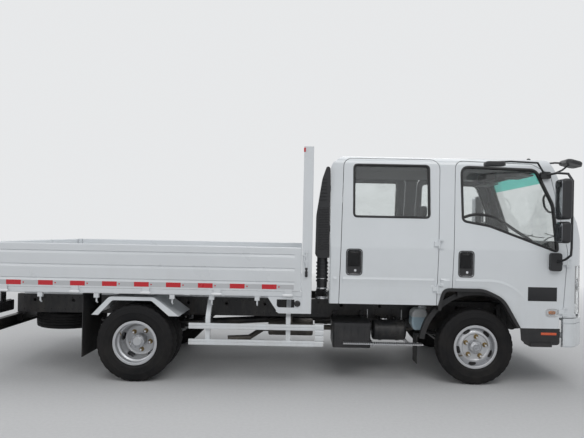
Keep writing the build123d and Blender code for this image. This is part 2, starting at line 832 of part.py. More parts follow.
def washer_bottle():
    """Blow-moulded bottle behind the right front wheel, with its cap and bracket."""
    outline = rounded([
        (bottle_x - 66, bottle_low, 26), (bottle_x + 4, bottle_low, 26),
        (bottle_x + 76, bottle_low + 190, 40),
        (bottle_x + 30, bottle_low + 222, 20), (bottle_x - 86, bottle_low + 222, 60),
        (bottle_x - 92, bottle_low + 60, 60),
    ])
    body = side_prism(outline, -bottle_outer, -bottle_inner)
    body = fillet(body.faces().sort_by(Axis.Y)[0].edges(), 18)
    neck = (bottle_x + 36, -(bottle_inner + bottle_outer) / 2, bottle_low + 180)
    top = (neck[0] + 12, neck[1], neck[2] + 62)
    shape = body + rod(neck, top, 22) + rod((neck[0] + 8, neck[1], neck[2] + 40), top, 28)
    return shape + block(bottle_x - 20, bottle_x + 20, -bottle_inner - 5, -rail_outer_y, bottle_low + 70,
                         bottle_low + 110)


write("washer_bottle", washer_bottle())

muffler_y = -230
muffler_z = rail_bottom - 140
muffler_radius = 95
muffler_rear = rear_axle_x + 1250
muffler_front = muffler_rear + 500
pipe_radius = 28


# Exhaust: muffler under the frame, front pipe from the engine, tail pipe ahead of the rear wheel
def exhaust():
    place = Plane(origin=((muffler_rear + muffler_front) / 2, muffler_y, muffler_z), z_dir=(1, 0, 0))
    shape = place * fillet(Cylinder(muffler_radius, muffler_front - muffler_rear).edges(), 18)
    shape += bent_rod([
        (muffler_front - 20, muffler_y, muffler_z), (engine_rear - 190, muffler_y, muffler_z),
        (engine_rear - 80, muffler_y, muffler_z + 50), (engine_rear - seat_gap, muffler_y, muffler_z + 50),
    ], pipe_radius)
    shape += bent_rod([
        (muffler_rear + 20, muffler_y - 10, muffler_z - 25), (muffler_rear - 60, muffler_y - 10, muffler_z - 25),
        (muffler_rear - 200, muffler_y - 160, muffler_z - 95),
        (muffler_rear - 430, muffler_y - 200, muffler_z - 100),
    ], pipe_radius)
    middle = (muffler_rear + muffler_front) / 2
    return shape + block(middle - 15, middle + 15, -rail_outer_y + rail_flange - 10, muffler_y + 5,
                         muffler_z + 60, rail_bottom)


write("exhaust", exhaust())

intake_outer = cab_half_width - 50
intake_inner = cab_half_width - 200
intake_low = cab_bottom + 443
intake_top = cab_roof - 165
intake_front = cab_rear - 5
duct_x = cab_rear - 70
duct_y = -(intake_outer + intake_inner) / 2
duct_radius = 52


# Raised air intake up the right rear corner of the cab, with its grille, bellows and pipe to the frame
def air_intake():
    outline = rounded([
        (intake_front, intake_low, 0), (cab_rear - 142, intake_low, 40),
        (cab_rear - 138, intake_low + 420, 300),
        (cab_rear - 84, intake_top - 130, 300), (cab_rear - 40, intake_top, 20),
        (intake_front - 4, intake_top - 30, 25),
        (intake_front, intake_top - 120, 0),
    ])
    shape = side_prism(outline, -intake_outer, -intake_inner)
    for index in range(7):
        z = intake_top - 140 - index * 34
        shape -= block(cab_rear - 160, cab_rear - 40, -intake_outer - 1, -intake_outer + 10, z - 10, z)
    for z in (intake_low + 260, intake_low + 660):
        shape += block(intake_front - 10, cab_rear, -intake_outer + 20, -intake_inner - 20, z, z + 60)
    shape += rod((duct_x, duct_y, intake_low + 10), (duct_x, duct_y, rail_top + 200), duct_radius)
    for index in range(6):
        z = rail_top + 240 + index * 36
        shape += rod((duct_x, duct_y, z), (duct_x, duct_y, z + 16), duct_radius + 8)
    shape += bent_rod([
        (duct_x, duct_y, rail_top + 220), (duct_x, duct_y, rail_top + 190),
        (duct_x, -rail_outer_y - 160, rail_top + 90),
        (duct_x, -rail_outer_y + 20, rail_top + 76),
    ], duct_radius - 2)
    return shape + block(duct_x - 50, duct_x + 50, -rail_outer_y, -rail_outer_y + 60, rail_top,
                         rail_top + 60)


write("air_intake", air_intake())

# Edges of the doors and windows along the truck
rear_door_rear = cab_rear + 97
rear_door_front = cab_rear + 1050
front_door_rear = cab_rear + 1208
front_door_front = cab_front - 248
arch_rear = front_axle_x - 404
arch_front = front_axle_x + 409
arch_top = cab_bottom + 171
nose_corner = front_axle_x + 896
hinge_lean = 38


# Cab, drawn in three views whose prisms are intersected; inset makes the inner skin
def cab_side_face():
    return rounded([
        (cab_rear, cab_nose_bottom - 190, 0), (cab_rear, cab_roof - 150, 90),
        (cab_rear + 168, cab_roof - 15, 140),
        (cab_front - 732, cab_roof, 400), (cab_front - 362, cab_roof - 50, 110),
        (cab_front - 294, cab_roof - 175, 0),
        (cab_front - 20, cab_belt_z + 75, 70), (cab_front, cab_belt_z - 170, 0),
        (cab_front, cab_nose_bottom - 190, 0),
    ])


def cab_front_face(half):
    return rounded([
        (-half, cab_nose_bottom - 250, 0), (-half, cab_belt_z, 200),
        (-cab_roof_half_width, cab_roof - 65, 90),
        (0, cab_roof + 12, 0), (cab_roof_half_width, cab_roof - 65, 90), (half, cab_belt_z, 200),
        (half, cab_nose_bottom - 250, 0),
    ])


def cab_plan_face():
    edge = cab_half_width + 5
    nose = cab_half_width - 120
    return rounded([
        (cab_rear - 10, -edge, 60), (nose_corner, -edge, 250), (cab_front + 4, -nose, 170),
        (cab_front + 4, nose, 170),
        (nose_corner, edge, 250), (cab_rear - 10, edge, 60),
    ])


def cab_block(inset, half):
    side = cab_side_face()
    front = cab_front_face(half)
    plan = cab_plan_face()
    if inset:
        side = offset(side, -inset, kind=Kind.INTERSECTION)
        front = offset(front, -inset, kind=Kind.INTERSECTION)
        plan = offset(plan, -inset, kind=Kind.INTERSECTION)
    reach = cab_half_width + 200
    body = side_prism(side, -reach, reach) & front_prism(front, cab_rear - 100, cab_front + 100)
    return body & plan_prism(plan, 0, cab_roof + 200)


upper_half = cab_half_width - cab_swage


def lower_swage():
    """Prism with a sloped upper edge that the full-width lower body fills, over the sill and the wheel arch."""
    region = rounded([
        (cab_rear - 100, cab_nose_bottom - 300, 0), (cab_rear - 100, cab_swage_z, 0),
        (front_axle_x + 96, cab_swage_z, 450),
        (front_axle_x + 560, cab_swage_z - 310, 0), (front_axle_x + 560, cab_nose_bottom - 300, 0),
    ])
    sloped = extrude(region, cab_swage + 6, taper=45)
    return side_plane(-upper_half + 3) * sloped


outer_block = cab_block(0, upper_half)
outer_block += both(cab_block(0, cab_half_width) & lower_swage())
inner_block = cab_block(cab_wall, upper_half)
door_side_block = cab_block(cab_wall + door_gap, upper_half)
glass_shell = cab_block(glass_inset, upper_half) - cab_block(glass_inset + glass_thickness, upper_half)
wall_skin = outer_block - inner_block
opening_skin = outer_block - door_side_block

arch_rows = [
    (arch_rear, cab_bottom, 0), (arch_rear + 45, arch_top, 80), (front_axle_x + 46, arch_top, 250),
    (front_axle_x + 240, arch_top - 88, 260), (arch_front, cab_nose_bottom, 0),
]
rear_door_rows = [
    (rear_door_rear, cab_bottom, 0), (rear_door_rear + 35, cab_roof - 85, 85),
    (rear_door_front + hinge_lean, cab_roof - 85, 95), (rear_door_front, cab_bottom, 8),
]
front_door_rows = [
    (front_door_rear, arch_top, 0), (front_door_rear + 40, cab_roof - 93, 75),
    (cab_front - 522, cab_roof - 115, 110),
    (cab_front - 342, cab_roof - 215, 120), (front_door_front + 46, cab_belt_z - 3, 80),
    (front_door_front, cab_nose_bottom, 40), (arch_front, cab_nose_bottom, 0),
    (front_axle_x + 240, arch_top - 88, 260), (front_axle_x + 46, arch_top, 250),
]
rear_window_rows = [
    (rear_door_rear + 130, cab_belt_z + 300, 45), (rear_door_rear + 130, cab_roof - 143, 45),
    (rear_door_front - 65, cab_roof - 143, 45), (rear_door_front - 65, cab_belt_z + 300, 45),
]
front_window_rows = [
    (front_door_rear + 100, cab_belt_z + 280, 50), (front_door_rear + 95, cab_roof - 149, 80),
    (cab_front - 482, cab_roof - 169, 100), (cab_front - 322, cab_belt_z + 450, 250),
    (cab_front - 294, cab_belt_z - 10, 30), (cab_front - 962, cab_belt_z + 235, 400),
]
screen_low_half = cab_half_width - 200
screen_high_half = cab_roof_half_width - 135
windshield_rows = [
    (-screen_low_half, cab_belt_z + 75, 80), (-screen_high_half, cab_roof - 135, 80),
    (screen_high_half, cab_roof - 135, 80), (screen_low_half, cab_belt_z + 75, 80),
]
back_window_half = 560
back_window_rows = [
    (-back_window_half, cab_belt_z + 290, 60), (-back_window_half, cab_roof - 265, 60),
    (back_window_half, cab_roof - 265, 60), (back_window_half, cab_belt_z + 290, 60),
]
lamp_rear = cab_front - 112
lamp_inner = cab_half_width - 370
lamp_rows = [
    (lamp_inner, cab_bottom - 50, 40), (cab_half_width + 60, cab_bottom - 70, 0),
    (cab_half_width + 60, cab_belt_z - 142, 0), (cab_half_width - 150, cab_belt_z - 142, 70),
    (lamp_inner + 20, cab_belt_z - 330, 90),
]
handle_rows = {
    "rear": (rear_door_rear + 72, rear_door_rear + 213),
    "front": (front_door_rear + 63, front_door_rear + 199),
}
handle_low = cab_bottom + 290
handle_high = cab_bottom + 530
handle_depth = 20
grille_half = lamp_inner - 25
grille_low = cab_bottom + 3
grille_high = cab_belt_z - 240
grille_depth = 30
riser_rear = rear_door_front - 2
engine_room_rear = front_axle_x - 364
footwell_rear = front_axle_x + 476
bumper_rear = rail_front - 100
bumper_top = cab_bottom - 97
reach_y = cab_half_width + 200
deep_z = cab_nose_bottom - 290


def cab_below():
    """Everything under the cab's floor and outside its sills, taken away from the block."""
    inner = cab_half_width - cab_wall
    low = block(cab_rear - 60, engine_room_rear, -reach_y, reach_y, deep_z, cab_bottom)
    arch = side_prism(rounded([(arch_rear, deep_z, 0)] + arch_rows + [(arch_front, deep_z, 0)]), -reach_y,
                      reach_y)
    front_low = block(arch_front - 13, cab_front + 200, -reach_y, reach_y, deep_z, cab_nose_bottom)
    engine_room = block(engine_room_rear, footwell_rear - 50, -inner, inner, deep_z, cab_front_floor - 52)
    under_feet = block(footwell_rear - 80, cab_front - cab_wall, -inner, inner, deep_z,
                       cab_footwell_floor - cab_floor_plate)
    bumper_room = block(bumper_rear, cab_front + 200, -reach_y, reach_y, deep_z, bumper_top)
    return low + arch + front_low + engine_room + under_feet + bumper_room


def cab_inside():
    """The hollow of the cab, above its stepped floor."""
    floor = block(cab_rear - 100, riser_rear, -reach_y, reach_y, deep_z, cab_rear_floor)
    floor += block(riser_rear, footwell_rear, -reach_y, reach_y, deep_z, cab_front_floor)
    floor += block(footwell_rear, cab_front + 200, -reach_y, reach_y, deep_z, cab_footwell_floor)
    return inner_block - floor


below = cab_below()
shell_walls = (outer_block - cab_inside()) - below
door_skin = wall_skin - below

# Door hinges: for each door the lower and upper end of its front edge (x, z) and its two hinges' heights
hinge_pin = 6
hinge_knuckle = 10
hinge_half = 28
hinge_lug = 16
hinge_leaf = 32
hinge_leaf_proud = 4
hinge_y = cab_half_width + 2
door_hinges = {
    "rear": ((rear_door_front, cab_bottom), (rear_door_front + hinge_lean, cab_roof - 85),
             (cab_bottom + 163, cab_bottom + 603)),
    "front": ((front_door_front, cab_nose_bottom), (front_door_front + 46, cab_belt_z - 3),
              (cab_nose_bottom + 170, cab_belt_z - 110)),
}


def hinge_point(edge, z):
    """Point on a door's hinge axis at a height, in the middle of the gap ahead of the door."""
    (x0, z0), (x1, z1), heights = edge
    return (x0 + (x1 - x0) * (z - z0) / (z1 - z0) + door_gap / 2, hinge_y, z)


def hinge_rod(edge, z0, z1, radius):
    return rod(hinge_point(edge, z0), hinge_point(edge, z1), radius)


def door_knuckles(edge):
    shapes = []
    for z in edge[2]:
        x, y, height = hinge_point(edge, z)
        shapes.append(hinge_rod(edge, z - hinge_half, z + hinge_half, hinge_knuckle))
        shapes.append(block(x - 46, x, hinge_y - hinge_leaf, hinge_y + hinge_leaf_proud, z - hinge_half + 4,
                            z + hinge_half - 4))
    return joined(shapes)


def pin_bores(edge):
    reach = hinge_half + hinge_lug + 5
    return joined([hinge_rod(edge, z - reach, z + reach, hinge_pin + pin_clearance) for z in edge[2]])


def lug_starts(z):
    return (z - hinge_half - hinge_lug, z + hinge_half + hinge_slack)


def pillar_pins(edge):
    shapes = []
    for z in edge[2]:
        x, y, height = hinge_point(edge, z)
        shapes.append(hinge_rod(edge, z - hinge_half - hinge_lug, z + hinge_half + hinge_lug, hinge_pin))
        for low in lug_starts(z):
            high = low + hinge_lug - hinge_slack
            shapes.append(hinge_rod(edge, low, high, hinge_knuckle))
            shapes.append(block(x, x + 40, hinge_y - hinge_leaf, hinge_y + hinge_leaf_proud, low, high))
    return joined(shapes)


def knuckle_notches(edge):
    """Room cut in the pillar round the door's knuckles."""
    reach = hinge_half + hinge_slack
    return joined([hinge_rod(edge, z - reach, z + reach, hinge_knuckle + 2) for z in edge[2]])


def lug_notches(edge):
    """Room cut in the door round the pillar's lugs."""
    return joined([
        hinge_rod(edge, low - hinge_slack, low + hinge_lug, hinge_knuckle + 2)
        for z in edge[2] for low in lug_starts(z)
    ])


skin_cut_y = cab_roof_half_width - 80
window_cut_y = cab_roof_half_width - 280


def door(name, rows, window):
    """Left-hand door: outer and inner panel in one, with its window, handle recess and hinge knuckles."""
    skin = door_skin & side_prism(rounded(rows), skin_cut_y, reach_y)
    skin -= lug_notches(door_hinges[name])
    skin -= side_prism(rounded(window), window_cut_y, reach_y)
    x0, x1 = handle_rows[name]
    recess = rounded_box(x0, x1, handle_low, handle_high, 28)
    skin -= side_prism(recess, upper_half - handle_depth, reach_y)
    return (skin + door_knuckles(door_hinges[name])) - pin_bores(door_hinges[name])


def door_glass(window):
    return glass_shell & side_prism(grown(window, -seat_gap), window_cut_y, reach_y)


def cab_shell():
    shell = shell_walls
    for name, rows in (("rear", rear_door_rows), ("front", front_door_rows)):
        hole = opening_skin & side_prism(grown(rows, door_gap), skin_cut_y, reach_y)
        shell = shell - hole - mirrored(hole)
        notch = knuckle_notches(door_hinges[name])
        shell = shell - notch - mirrored(notch)
        shell += both(pillar_pins(door_hinges[name]))
    shell -= front_prism(rounded(windshield_rows), footwell_rear + 20, cab_front + 200)
    shell -= front_prism(rounded(back_window_rows), cab_rear - 100, cab_rear + 270)
    lamp = front_prism(rounded(lamp_rows), lamp_rear, cab_front + 100)
    shell = shell - lamp - mirrored(lamp)
    shell -= block(cab_front - grille_depth, cab_front + 100, -grille_half, grille_half, grille_low,
                   grille_high)
    return shell


write("cab_shell", cab_shell())
door_rear_left = door("rear", rear_door_rows, rear_window_rows)
door_front_left = door("front", front_door_rows, front_window_rows)
write("door_rear_left", door_rear_left)
write("door_rear_right", mirrored(door_rear_left))
write("door_front_left", door_front_left)
write("door_front_right", mirrored(door_front_left))
for name, window in (("rear", rear_window_rows), ("front", front_window_rows)):
    pane = door_glass(window)
    write("glass_" + name + "_left", pane)
    write("glass_" + name + "_right", mirrored(pane))
write("windshield", glass_shell & front_prism(grown(windshield_rows, -seat_gap), footwell_rear + 20,
                                              cab_front + 200))
write("back_window", glass_shell & front_prism(grown(back_window_rows, -seat_gap), cab_rear - 100,
                                               cab_rear + 270))
write("headlamps", pair(wall_skin & front_prism(grown(lamp_rows, -seat_gap), lamp_rear + seat_gap,
                                                cab_front + 100)))

# Grille between the headlamps: a moulded surround with rounded slats across it
slat_count = 4
slat_half_height = 11


def grille():
    depth = cab_front - grille_depth
    pitch = (grille_high - grille_low - 48) / slat_count
    surround = front_prism(rounded_box(-grille_half + seat_gap, grille_half - seat_gap,
                                       grille_low + seat_gap,
                                       grille_high - seat_gap, 12), depth, cab_front + 6)
    opening = rounded_box(-grille_half + 25, grille_half - 25, grille_low + 24, grille_high - 24, 20)
    shape = surround - front_prism(opening, depth + 8, cab_front + 20)
    for index in range(slat_count):
        z = grille_low + 24 + (index + 0.5) * pitch
        slat = rounded_box(depth + 6, cab_front + 3, z - slat_half_height, z + slat_half_height, 8)
        shape += side_prism(slat, -grille_half + 20, grille_half - 20)
    return shape


write("grille", grille())

bumper_half = cab_half_width - 15
bumper_low = cab_bottom - 392
bumper_high = cab_bottom - 107
bumper_wall = 42
fog_lamp_y = cab_half_width - 340
fog_lamp_radius = 50
fog_lamp_z = bumper_low + 118


def bumper_plan(inset):
    """Bumper seen from above, from its ends round both corners, drawn in by an inset."""
    half = bumper_half - inset
    nose = front_end - inset
    back = bumper_rear + 45
    if inset:
        back = bumper_rear
    return rounded([
        (back, -half, 0), (nose - 150, -half, 110), (nose, -half + 150, 130), (nose, half - 150, 130),
        (nose - 150, half, 110), (back, half, 0),
    ])


# Front bumper: a pressed shell with its air slot, round lamp pockets, a step line and a bar to the rails
def bumper():
    outer = plan_prism(bumper_plan(0), bumper_low, bumper_high)
    shape = outer - plan_prism(bumper_plan(bumper_wall), bumper_low - 20, bumper_high + 20)
    slot = rounded_box(-fog_lamp_y + 130, fog_lamp_y - 130, bumper_low + 62, bumper_low + 190, 26)
    shape -= front_prism(slot, front_end - 100, front_end + 10)
    groove = plan_prism(bumper_plan(0), bumper_high - 52, bumper_high - 44) - plan_prism(
        bumper_plan(8), bumper_high - 60, bumper_high - 30)
    shape -= groove
    for y in (-fog_lamp_y, fog_lamp_y):
        shape -= rod((front_end - 26, y, fog_lamp_z), (front_end + 10, y, fog_lamp_z), fog_lamp_radius)
    chamfer_cut = plan_prism(bumper_plan(0), bumper_low - 1, bumper_low + 14) - plan_prism(
        bumper_plan(10), bumper_low - 2, bumper_low + 15)
    shape -= chamfer_cut
    return shape + block(rail_front, front_end - bumper_wall + 4, -rail_outer_y, rail_outer_y,
                         rail_bottom + 60, rail_bottom + 120)


write("front_bumper", bumper())

liner_radius = tyre_radius + 143
liner_plate = 8
liner_flange = 50
liner_outer = cab_half_width - 75
liner_inner = cab_half_width - 280
flare_width = 30
flare_low = cab_nose_bottom + 2
skirt_low = rail_bottom - 130
skirt_plate = 6


def wheel_arches():
    """Left-hand flare along the cab's arch, the liner behind the wheel and the skirt ahead of it."""
    closed = arch_rows + [(arch_front, cab_nose_bottom - 90, 0), (arch_rear, cab_nose_bottom - 90, 0)]
    band = grown(closed, -seat_gap) - grown(closed, -flare_width)
    flare = side_prism(band, liner_outer, cab_half_width + 8)
    flare -= block(arch_rear - 100, arch_front + 200, liner_outer - 10, reach_y, cab_nose_bottom - 200,
                   flare_low)
    flare -= block(arch_rear - 100, arch_rear + 100, liner_outer - 10, reach_y, cab_nose_bottom - 200,
                   cab_bottom - 50)
    ring = cross_rod(front_axle_x, axle_z, liner_inner, liner_outer, liner_radius + liner_plate)
    ring -= cross_rod(front_axle_x, axle_z, liner_inner - 1, liner_outer + 1, liner_radius)
    flange = cross_rod(front_axle_x, axle_z, liner_outer - liner_plate, liner_outer,
                       liner_radius + liner_flange)
    flange -= cross_rod(front_axle_x, axle_z, liner_outer - liner_plate - 1, liner_outer + 1, liner_radius)
    far = 1400
    wedge = [(front_axle_x, axle_z)]
    for angle in (68, 120, 172):
        wedge.append((front_axle_x + far * math.cos(math.radians(angle)),
                      axle_z + far * math.sin(math.radians(angle))))
    liner = (ring + flange) & side_prism(plain(wedge), liner_inner - 100, reach_y)
    stay = block(front_axle_x - 204, front_axle_x - 164, liner_outer - liner_plate, liner_outer + 30,
                 arch_top - 88, arch_top - 22)
    skirt_rows = [
        (arch_front + 10, skirt_low + 40, 20), (arch_front - 1, cab_nose_bottom, 0),
        (bumper_rear + 10, cab_nose_bottom, 0),
        (bumper_rear + 10, skirt_low, 30), (arch_front + 80, skirt_low - 10, 30),
    ]
    skirt_outer = cab_half_width - cab_wall + 40
    skirt = side_prism(rounded(skirt_rows), skirt_outer - skirt_plate, skirt_outer)
    skirt -= block(arch_front - 60, arch_front - 1, skirt_outer - 30, skirt_outer + 30, skirt_low,
                   cab_nose_bottom)
    skirt += block(arch_front + 20, bumper_rear, skirt_outer - 40, skirt_outer - 1, cab_nose_bottom - 12,
                   cab_nose_bottom)
    tread = plan_prism(rounded_box(arch_front + 95, bumper_rear - 65, skirt_outer - 150, skirt_outer + 14,
                                   15),
                       skirt_low - 19, skirt_low + 22)
    return group(flare + liner + stay, skirt + tread)


write("wheel_arches", pair(wheel_arches()))

# Mirrors: on each front door a main and a wide-angle mirror on a bent tube between a base and an upper bracket
mirror_y = cab_half_width + 200
mirror_x = front_door_front - 106
mirror_post_x = front_door_front - 24
mirror_half_width = 82
mirror_tube = 11
mirror_top_z = cab_roof - 245
mirror_low_z = cab_belt_z - 20
bracket_x = cab_front - 402
bracket_z = cab_roof - 225
base_x = front_door_front - 79


def mirror_head(z0, z1, half_length, depth):
    """Mirror housing: a rounded shell bellied forward, with a flat face to the rear."""
    outline = rounded_box(mirror_x - half_length, mirror_x + half_length, z0, z1, 34)
    head = side_prism(outline, mirror_y - mirror_half_width, mirror_y + mirror_half_width)
    outer_edges = head.edges().filter_by(Axis.Y, reverse=True).group_by(Axis.Y)[-1]
    inner_edges = head.edges().filter_by(Axis.Y, reverse=True).group_by(Axis.Y)[0]
    return fillet(outer_edges + inner_edges, depth)


def mirrors():
    """Left-hand mirror set."""
    tube = bent_rod([
        (base_x + 6, cab_half_width + 20, mirror_low_z - 90),
        (mirror_post_x - 10, cab_half_width + 110, mirror_low_z - 55),
        (mirror_post_x, mirror_y - 10, mirror_low_z - 10), (mirror_post_x, mirror_y, mirror_low_z + 60),
        (mirror_post_x, mirror_y, mirror_top_z - 60), (mirror_post_x - 30, mirror_y - 30,
                                                       mirror_top_z + 10),
        (bracket_x + 70, cab_roof_half_width + 140, bracket_z + 14),
        (bracket_x, cab_roof_half_width + 40, bracket_z),
    ], mirror_tube)
    bracket = side_prism(rounded_box(bracket_x - 50, bracket_x + 50, bracket_z - 36, bracket_z + 34, 20),
                         cab_roof_half_width - 10, cab_roof_half_width + 62)
    base = side_prism(rounded_box(base_x - 55, base_x + 55, mirror_low_z - 174, mirror_low_z + 3, 26),
                      upper_half - 15, cab_half_width + 34)
    main = mirror_head(cab_roof - 671, cab_roof - 289, 48, 26)
    wide = mirror_head(cab_roof - 892, cab_roof - 690, 44, 26)
    for drop in (836, 746, 560, 400):
        z = cab_roof - drop
        tube += rod((mirror_x + 30, mirror_y, z), (mirror_post_x, mirror_y, z), mirror_tube - 2)
    return tube + bracket + base + main + wide - outer_block


kerb_x = front_door_rear + 345
kerb_z = cab_roof - 142


def kerb_mirror():
    """Right-hand mirror that looks down at the kerb, at the end of an arm from the upper bracket."""
    arm = bent_rod([
        (bracket_x - 20, -cab_roof_half_width - 52, bracket_z + 22),
        (bracket_x - 140, -cab_half_width - 60, kerb_z + 20),
        (kerb_x + 150, -cab_half_width - 120, kerb_z + 20), (kerb_x, -cab_half_width - 130, kerb_z + 10),
    ], 9)
    head = plan_prism(rounded_box(kerb_x - 105, kerb_x + 85, -cab_half_width - 200, -cab_half_width - 70,
                                  45),
                      kerb_z - 26, kerb_z + 12)
    return arm + fillet(head.faces().sort_by(Axis.Z)[-1].edges(), 16)


mirror_set = mirrors()
write("mirror_left", mirror_set)
write("mirror_right", mirrored(mirror_set) + kerb_mirror())

nose_mirror_x = cab_front - 132
nose_mirror_y = -cab_roof_half_width + 5
nose_mirror_z = cab_roof - 92


def front_mirror():
    """Mirror ahead of the right screen pillar that shows the ground before the bumper, on two struts."""
    head = plan_prism(rounded_box(nose_mirror_x - 75, nose_mirror_x + 85, nose_mirror_y - 110,
                                  nose_mirror_y + 110, 50),
                      nose_mirror_z - 24, nose_mirror_z + 20)
    head = fillet(head.faces().sort_by(Axis.Z)[-1].edges(), 20)
    head = head.rotate(Axis((nose_mirror_x, 0, nose_mirror_z), (0, 1, 0)), 14)
    struts = bent_rod([
        (nose_mirror_x, nose_mirror_y + 20, nose_mirror_z), (nose_mirror_x - 120, nose_mirror_y + 70,
                                                             nose_mirror_z + 10),
        (cab_front - 440, nose_mirror_y + 130, cab_roof - 100),
    ], 9)
    struts += bent_rod([
        (nose_mirror_x, nose_mirror_y - 20, nose_mirror_z), (nose_mirror_x - 70, nose_mirror_y + 20,
                                                             nose_mirror_z - 70),
        (cab_front - 340, nose_mirror_y + 70, cab_roof - 230),
    ], 9)
    return head + struts - outer_block


write("front_mirror", front_mirror())

# Seats: each row gives the place, the two sides, the base height and the middles of the head restraints
cushion_length = 480
cushion_height = 130
back_height = 640
front_seat_x = front_axle_x - 184
rear_seat_x = cab_rear + 168
rear_seat_base = cab_rear_floor + 310
seat_half = cab_half_width - 120


def seat(x, y0, y1, base_z, restraints):
    cushion = side_prism(rounded([
        (x + 10, base_z, 0), (x, base_z + cushion_height, 30),
        (x + cushion_length, base_z + cushion_height + 14, 45),
        (x + cushion_length, base_z, 20),
    ]), y0, y1)
    back = side_prism(rounded([
        (x + 20, base_z + 60, 0), (x - 90, base_z + back_height, 40),
        (x + 10, base_z + back_height + 6, 40),
        (x + 130, base_z + 100, 30),
    ]), y0, y1)
    shape = cushion + back
    for y in restraints:
        for side in (-40, 40):
            shape += rod((x - 38, y + side, base_z + back_height - 20),
                         (x - 46, y + side, base_z + back_height + 70), 6)
        shape += side_prism(rounded_box(x - 88, x - 8, base_z + back_height + 46,
                                        base_z + back_height + 186, 34),
                            y - 125, y + 125)
    return shape


driver_seat = seat(front_seat_x, 180, seat_half - 180, cab_front_floor, [440])
passenger_seat = seat(front_seat_x, -seat_half + 60, 130, cab_front_floor, [-540, -60])
write("front_seats", group(driver_seat, passenger_seat))
rear_seat = seat(rear_seat_x, -seat_half, seat_half, rear_seat_base, [-540, 540])
rear_seat += block(rear_seat_x + 20, rear_seat_x + cushion_length - 40, -seat_half + 20, seat_half - 20,
                   cab_rear_floor, rear_seat_base + 10)
write("rear_seat", rear_seat)

column_y = 440
column_low = (front_axle_x + 656, column_y, cab_footwell_floor + 360)
column_high = (front_axle_x + 386, column_y, cab_footwell_floor + 680)
column_radius = 26
wheel_ring_radius = 200
wheel_ring_section = 14
wheel_tilt = 40


# Dashboard across the cab, with a raised hood before the driver
def dashboard():
    half = cab_half_width - 40
    rear = footwell_rear + 180
    low = cab_footwell_floor + 350
    body = side_prism(rounded([
        (rear, low, 60), (rear - 60, low + 220, 60), (rear + 60, low + 270, 60), (cab_front, low + 230, 0),
        (cab_front, low, 0),
    ]), -half, half)
    hood = side_prism(rounded([
        (rear - 40, low + 200, 0), (rear - 70, low + 290, 25), (rear + 110, low + 305, 40),
        (rear + 190, low + 240, 0),
    ]), column_y - 210, column_y + 210)
    legs = block(footwell_rear + 320, cab_front, -half, -half + 100, cab_footwell_floor, low + 10)
    hollow = rod(column_low, column_high, column_radius + seat_gap)
    limit = cab_block(cab_wall + seat_gap, upper_half)
    return ((body + hood + legs + mirrored(legs)) & limit) - hollow


write("dashboard", dashboard())


def steering_wheel():
    lean = math.radians(wheel_tilt)
    centre = Vector(*column_high) + Vector(0, 0, 10)
    tilt = Plane(origin=centre, x_dir=(0, 1, 0), z_dir=(-math.sin(lean), 0, math.cos(lean)))
    shape = tilt * Torus(wheel_ring_radius, wheel_ring_section)
    shape += tilt * Pos(0, 0, -14) * Cylinder(48, 40)
    for angle in (0, 120, 240):
        shape += tilt * Rot(0, 0, angle) * Pos(0, wheel_ring_radius / 2,
                                               -2) * Box(30, wheel_ring_radius - 4, 12)
    return shape + rod(column_low, column_high, column_radius)


write("steering_wheel", steering_wheel())

# Hinges along the bed's edges
side_bottom = bed_floor_top + 4
side_top = bed_floor_top + side_height
bed_hinge_z = floor_under + 16
side_hinge_y = bed_half_width + hinge_barrel_radius
tail_hinge_x = tailgate_outer - 8
side_rear = tailgate_outer + side_thickness + side_gap + corner_post + side_gap
side_front = bed_front - 12
bed_rear = tailgate_outer + side_thickness + side_gap
sill_outer = bed_half_width - 2
sill_width = 40
side_hinge_count = 5
side_hinge_first = bed_front - 129
side_hinge_last = side_rear + 184
side_hinge_pitch = (side_hinge_first - side_hinge_last) / (side_hinge_count - 1)
side_hinge_places = [side_hinge_last + side_hinge_pitch * index for index in range(side_hinge_count)]
tail_hinge_places = [bed_half_width * part for part in (-0.74, -0.25, 0.25, 0.74)]
groove_places = [bed_floor_top + rise for rise in (96, 227, 359)]
flap_x = rear_axle_x - 504
bearer_places = [flap_x + step * bearer_pitch for step in range(-2, 7)]
bearer_places = [x for x in bearer_places if bed_rear + 120 < x < bed_front - 30]
hook_places = [rear_end + 637, rear_axle_x - 360, rear_axle_x + 370, bed_front - 864, bed_front - 427]
hook_half = 23
hook_height = 42
hook_pin_radius = 8
sill_inner = sill_outer - sill_width
runner_y = rail_outer_y - 30
guard_post_x = [bed_front - 903, bed_front - 124]


def hinge_set(make_point, places, lug):
    """Pins with a lug at each end; make_point gives the point on the hinge line at a place along it."""
    shapes = []
    reach = hinge_barrel_half + hinge_slack + hinge_lug_length
    for place in places:
        shapes.append(rod(make_point(place - reach), make_point(place + reach), hinge_pin_radius))
        for low in (place - reach, place + hinge_barrel_half + hinge_slack):
            shapes.append(rod(make_point(low), make_point(low + hinge_lug_length), hinge_barrel_radius))
            shapes.append(lug(low, low + hinge_lug_length))
    return joined(shapes)


def side_hinge_point(x):
    return (x, side_hinge_y, bed_hinge_z)


def tail_hinge_point(y):
    return (tail_hinge_x, y, bed_hinge_z)


def side_lug(x0, x1):
    return block(x0, x1, sill_outer - 2, side_hinge_y, bed_hinge_z - 8, bed_hinge_z + 8)


def tail_lug(y0, y1):
    return block(tail_hinge_x, bed_rear + 2, y0, y1, bed_hinge_z - 8, bed_hinge_z + 8)


def rope_hook(x):
    """Block under the sill with a bent pin for ropes."""
    y = sill_outer - 20
    low = floor_under - hook_height
    shape = block(x - hook_half, x + hook_half, y - 14, y + 16, low, floor_under)
    return shape + bent_rod([(x, y, low + 5), (x, y, low - 36), (x, y - 22, low - 50)], hook_pin_radius)


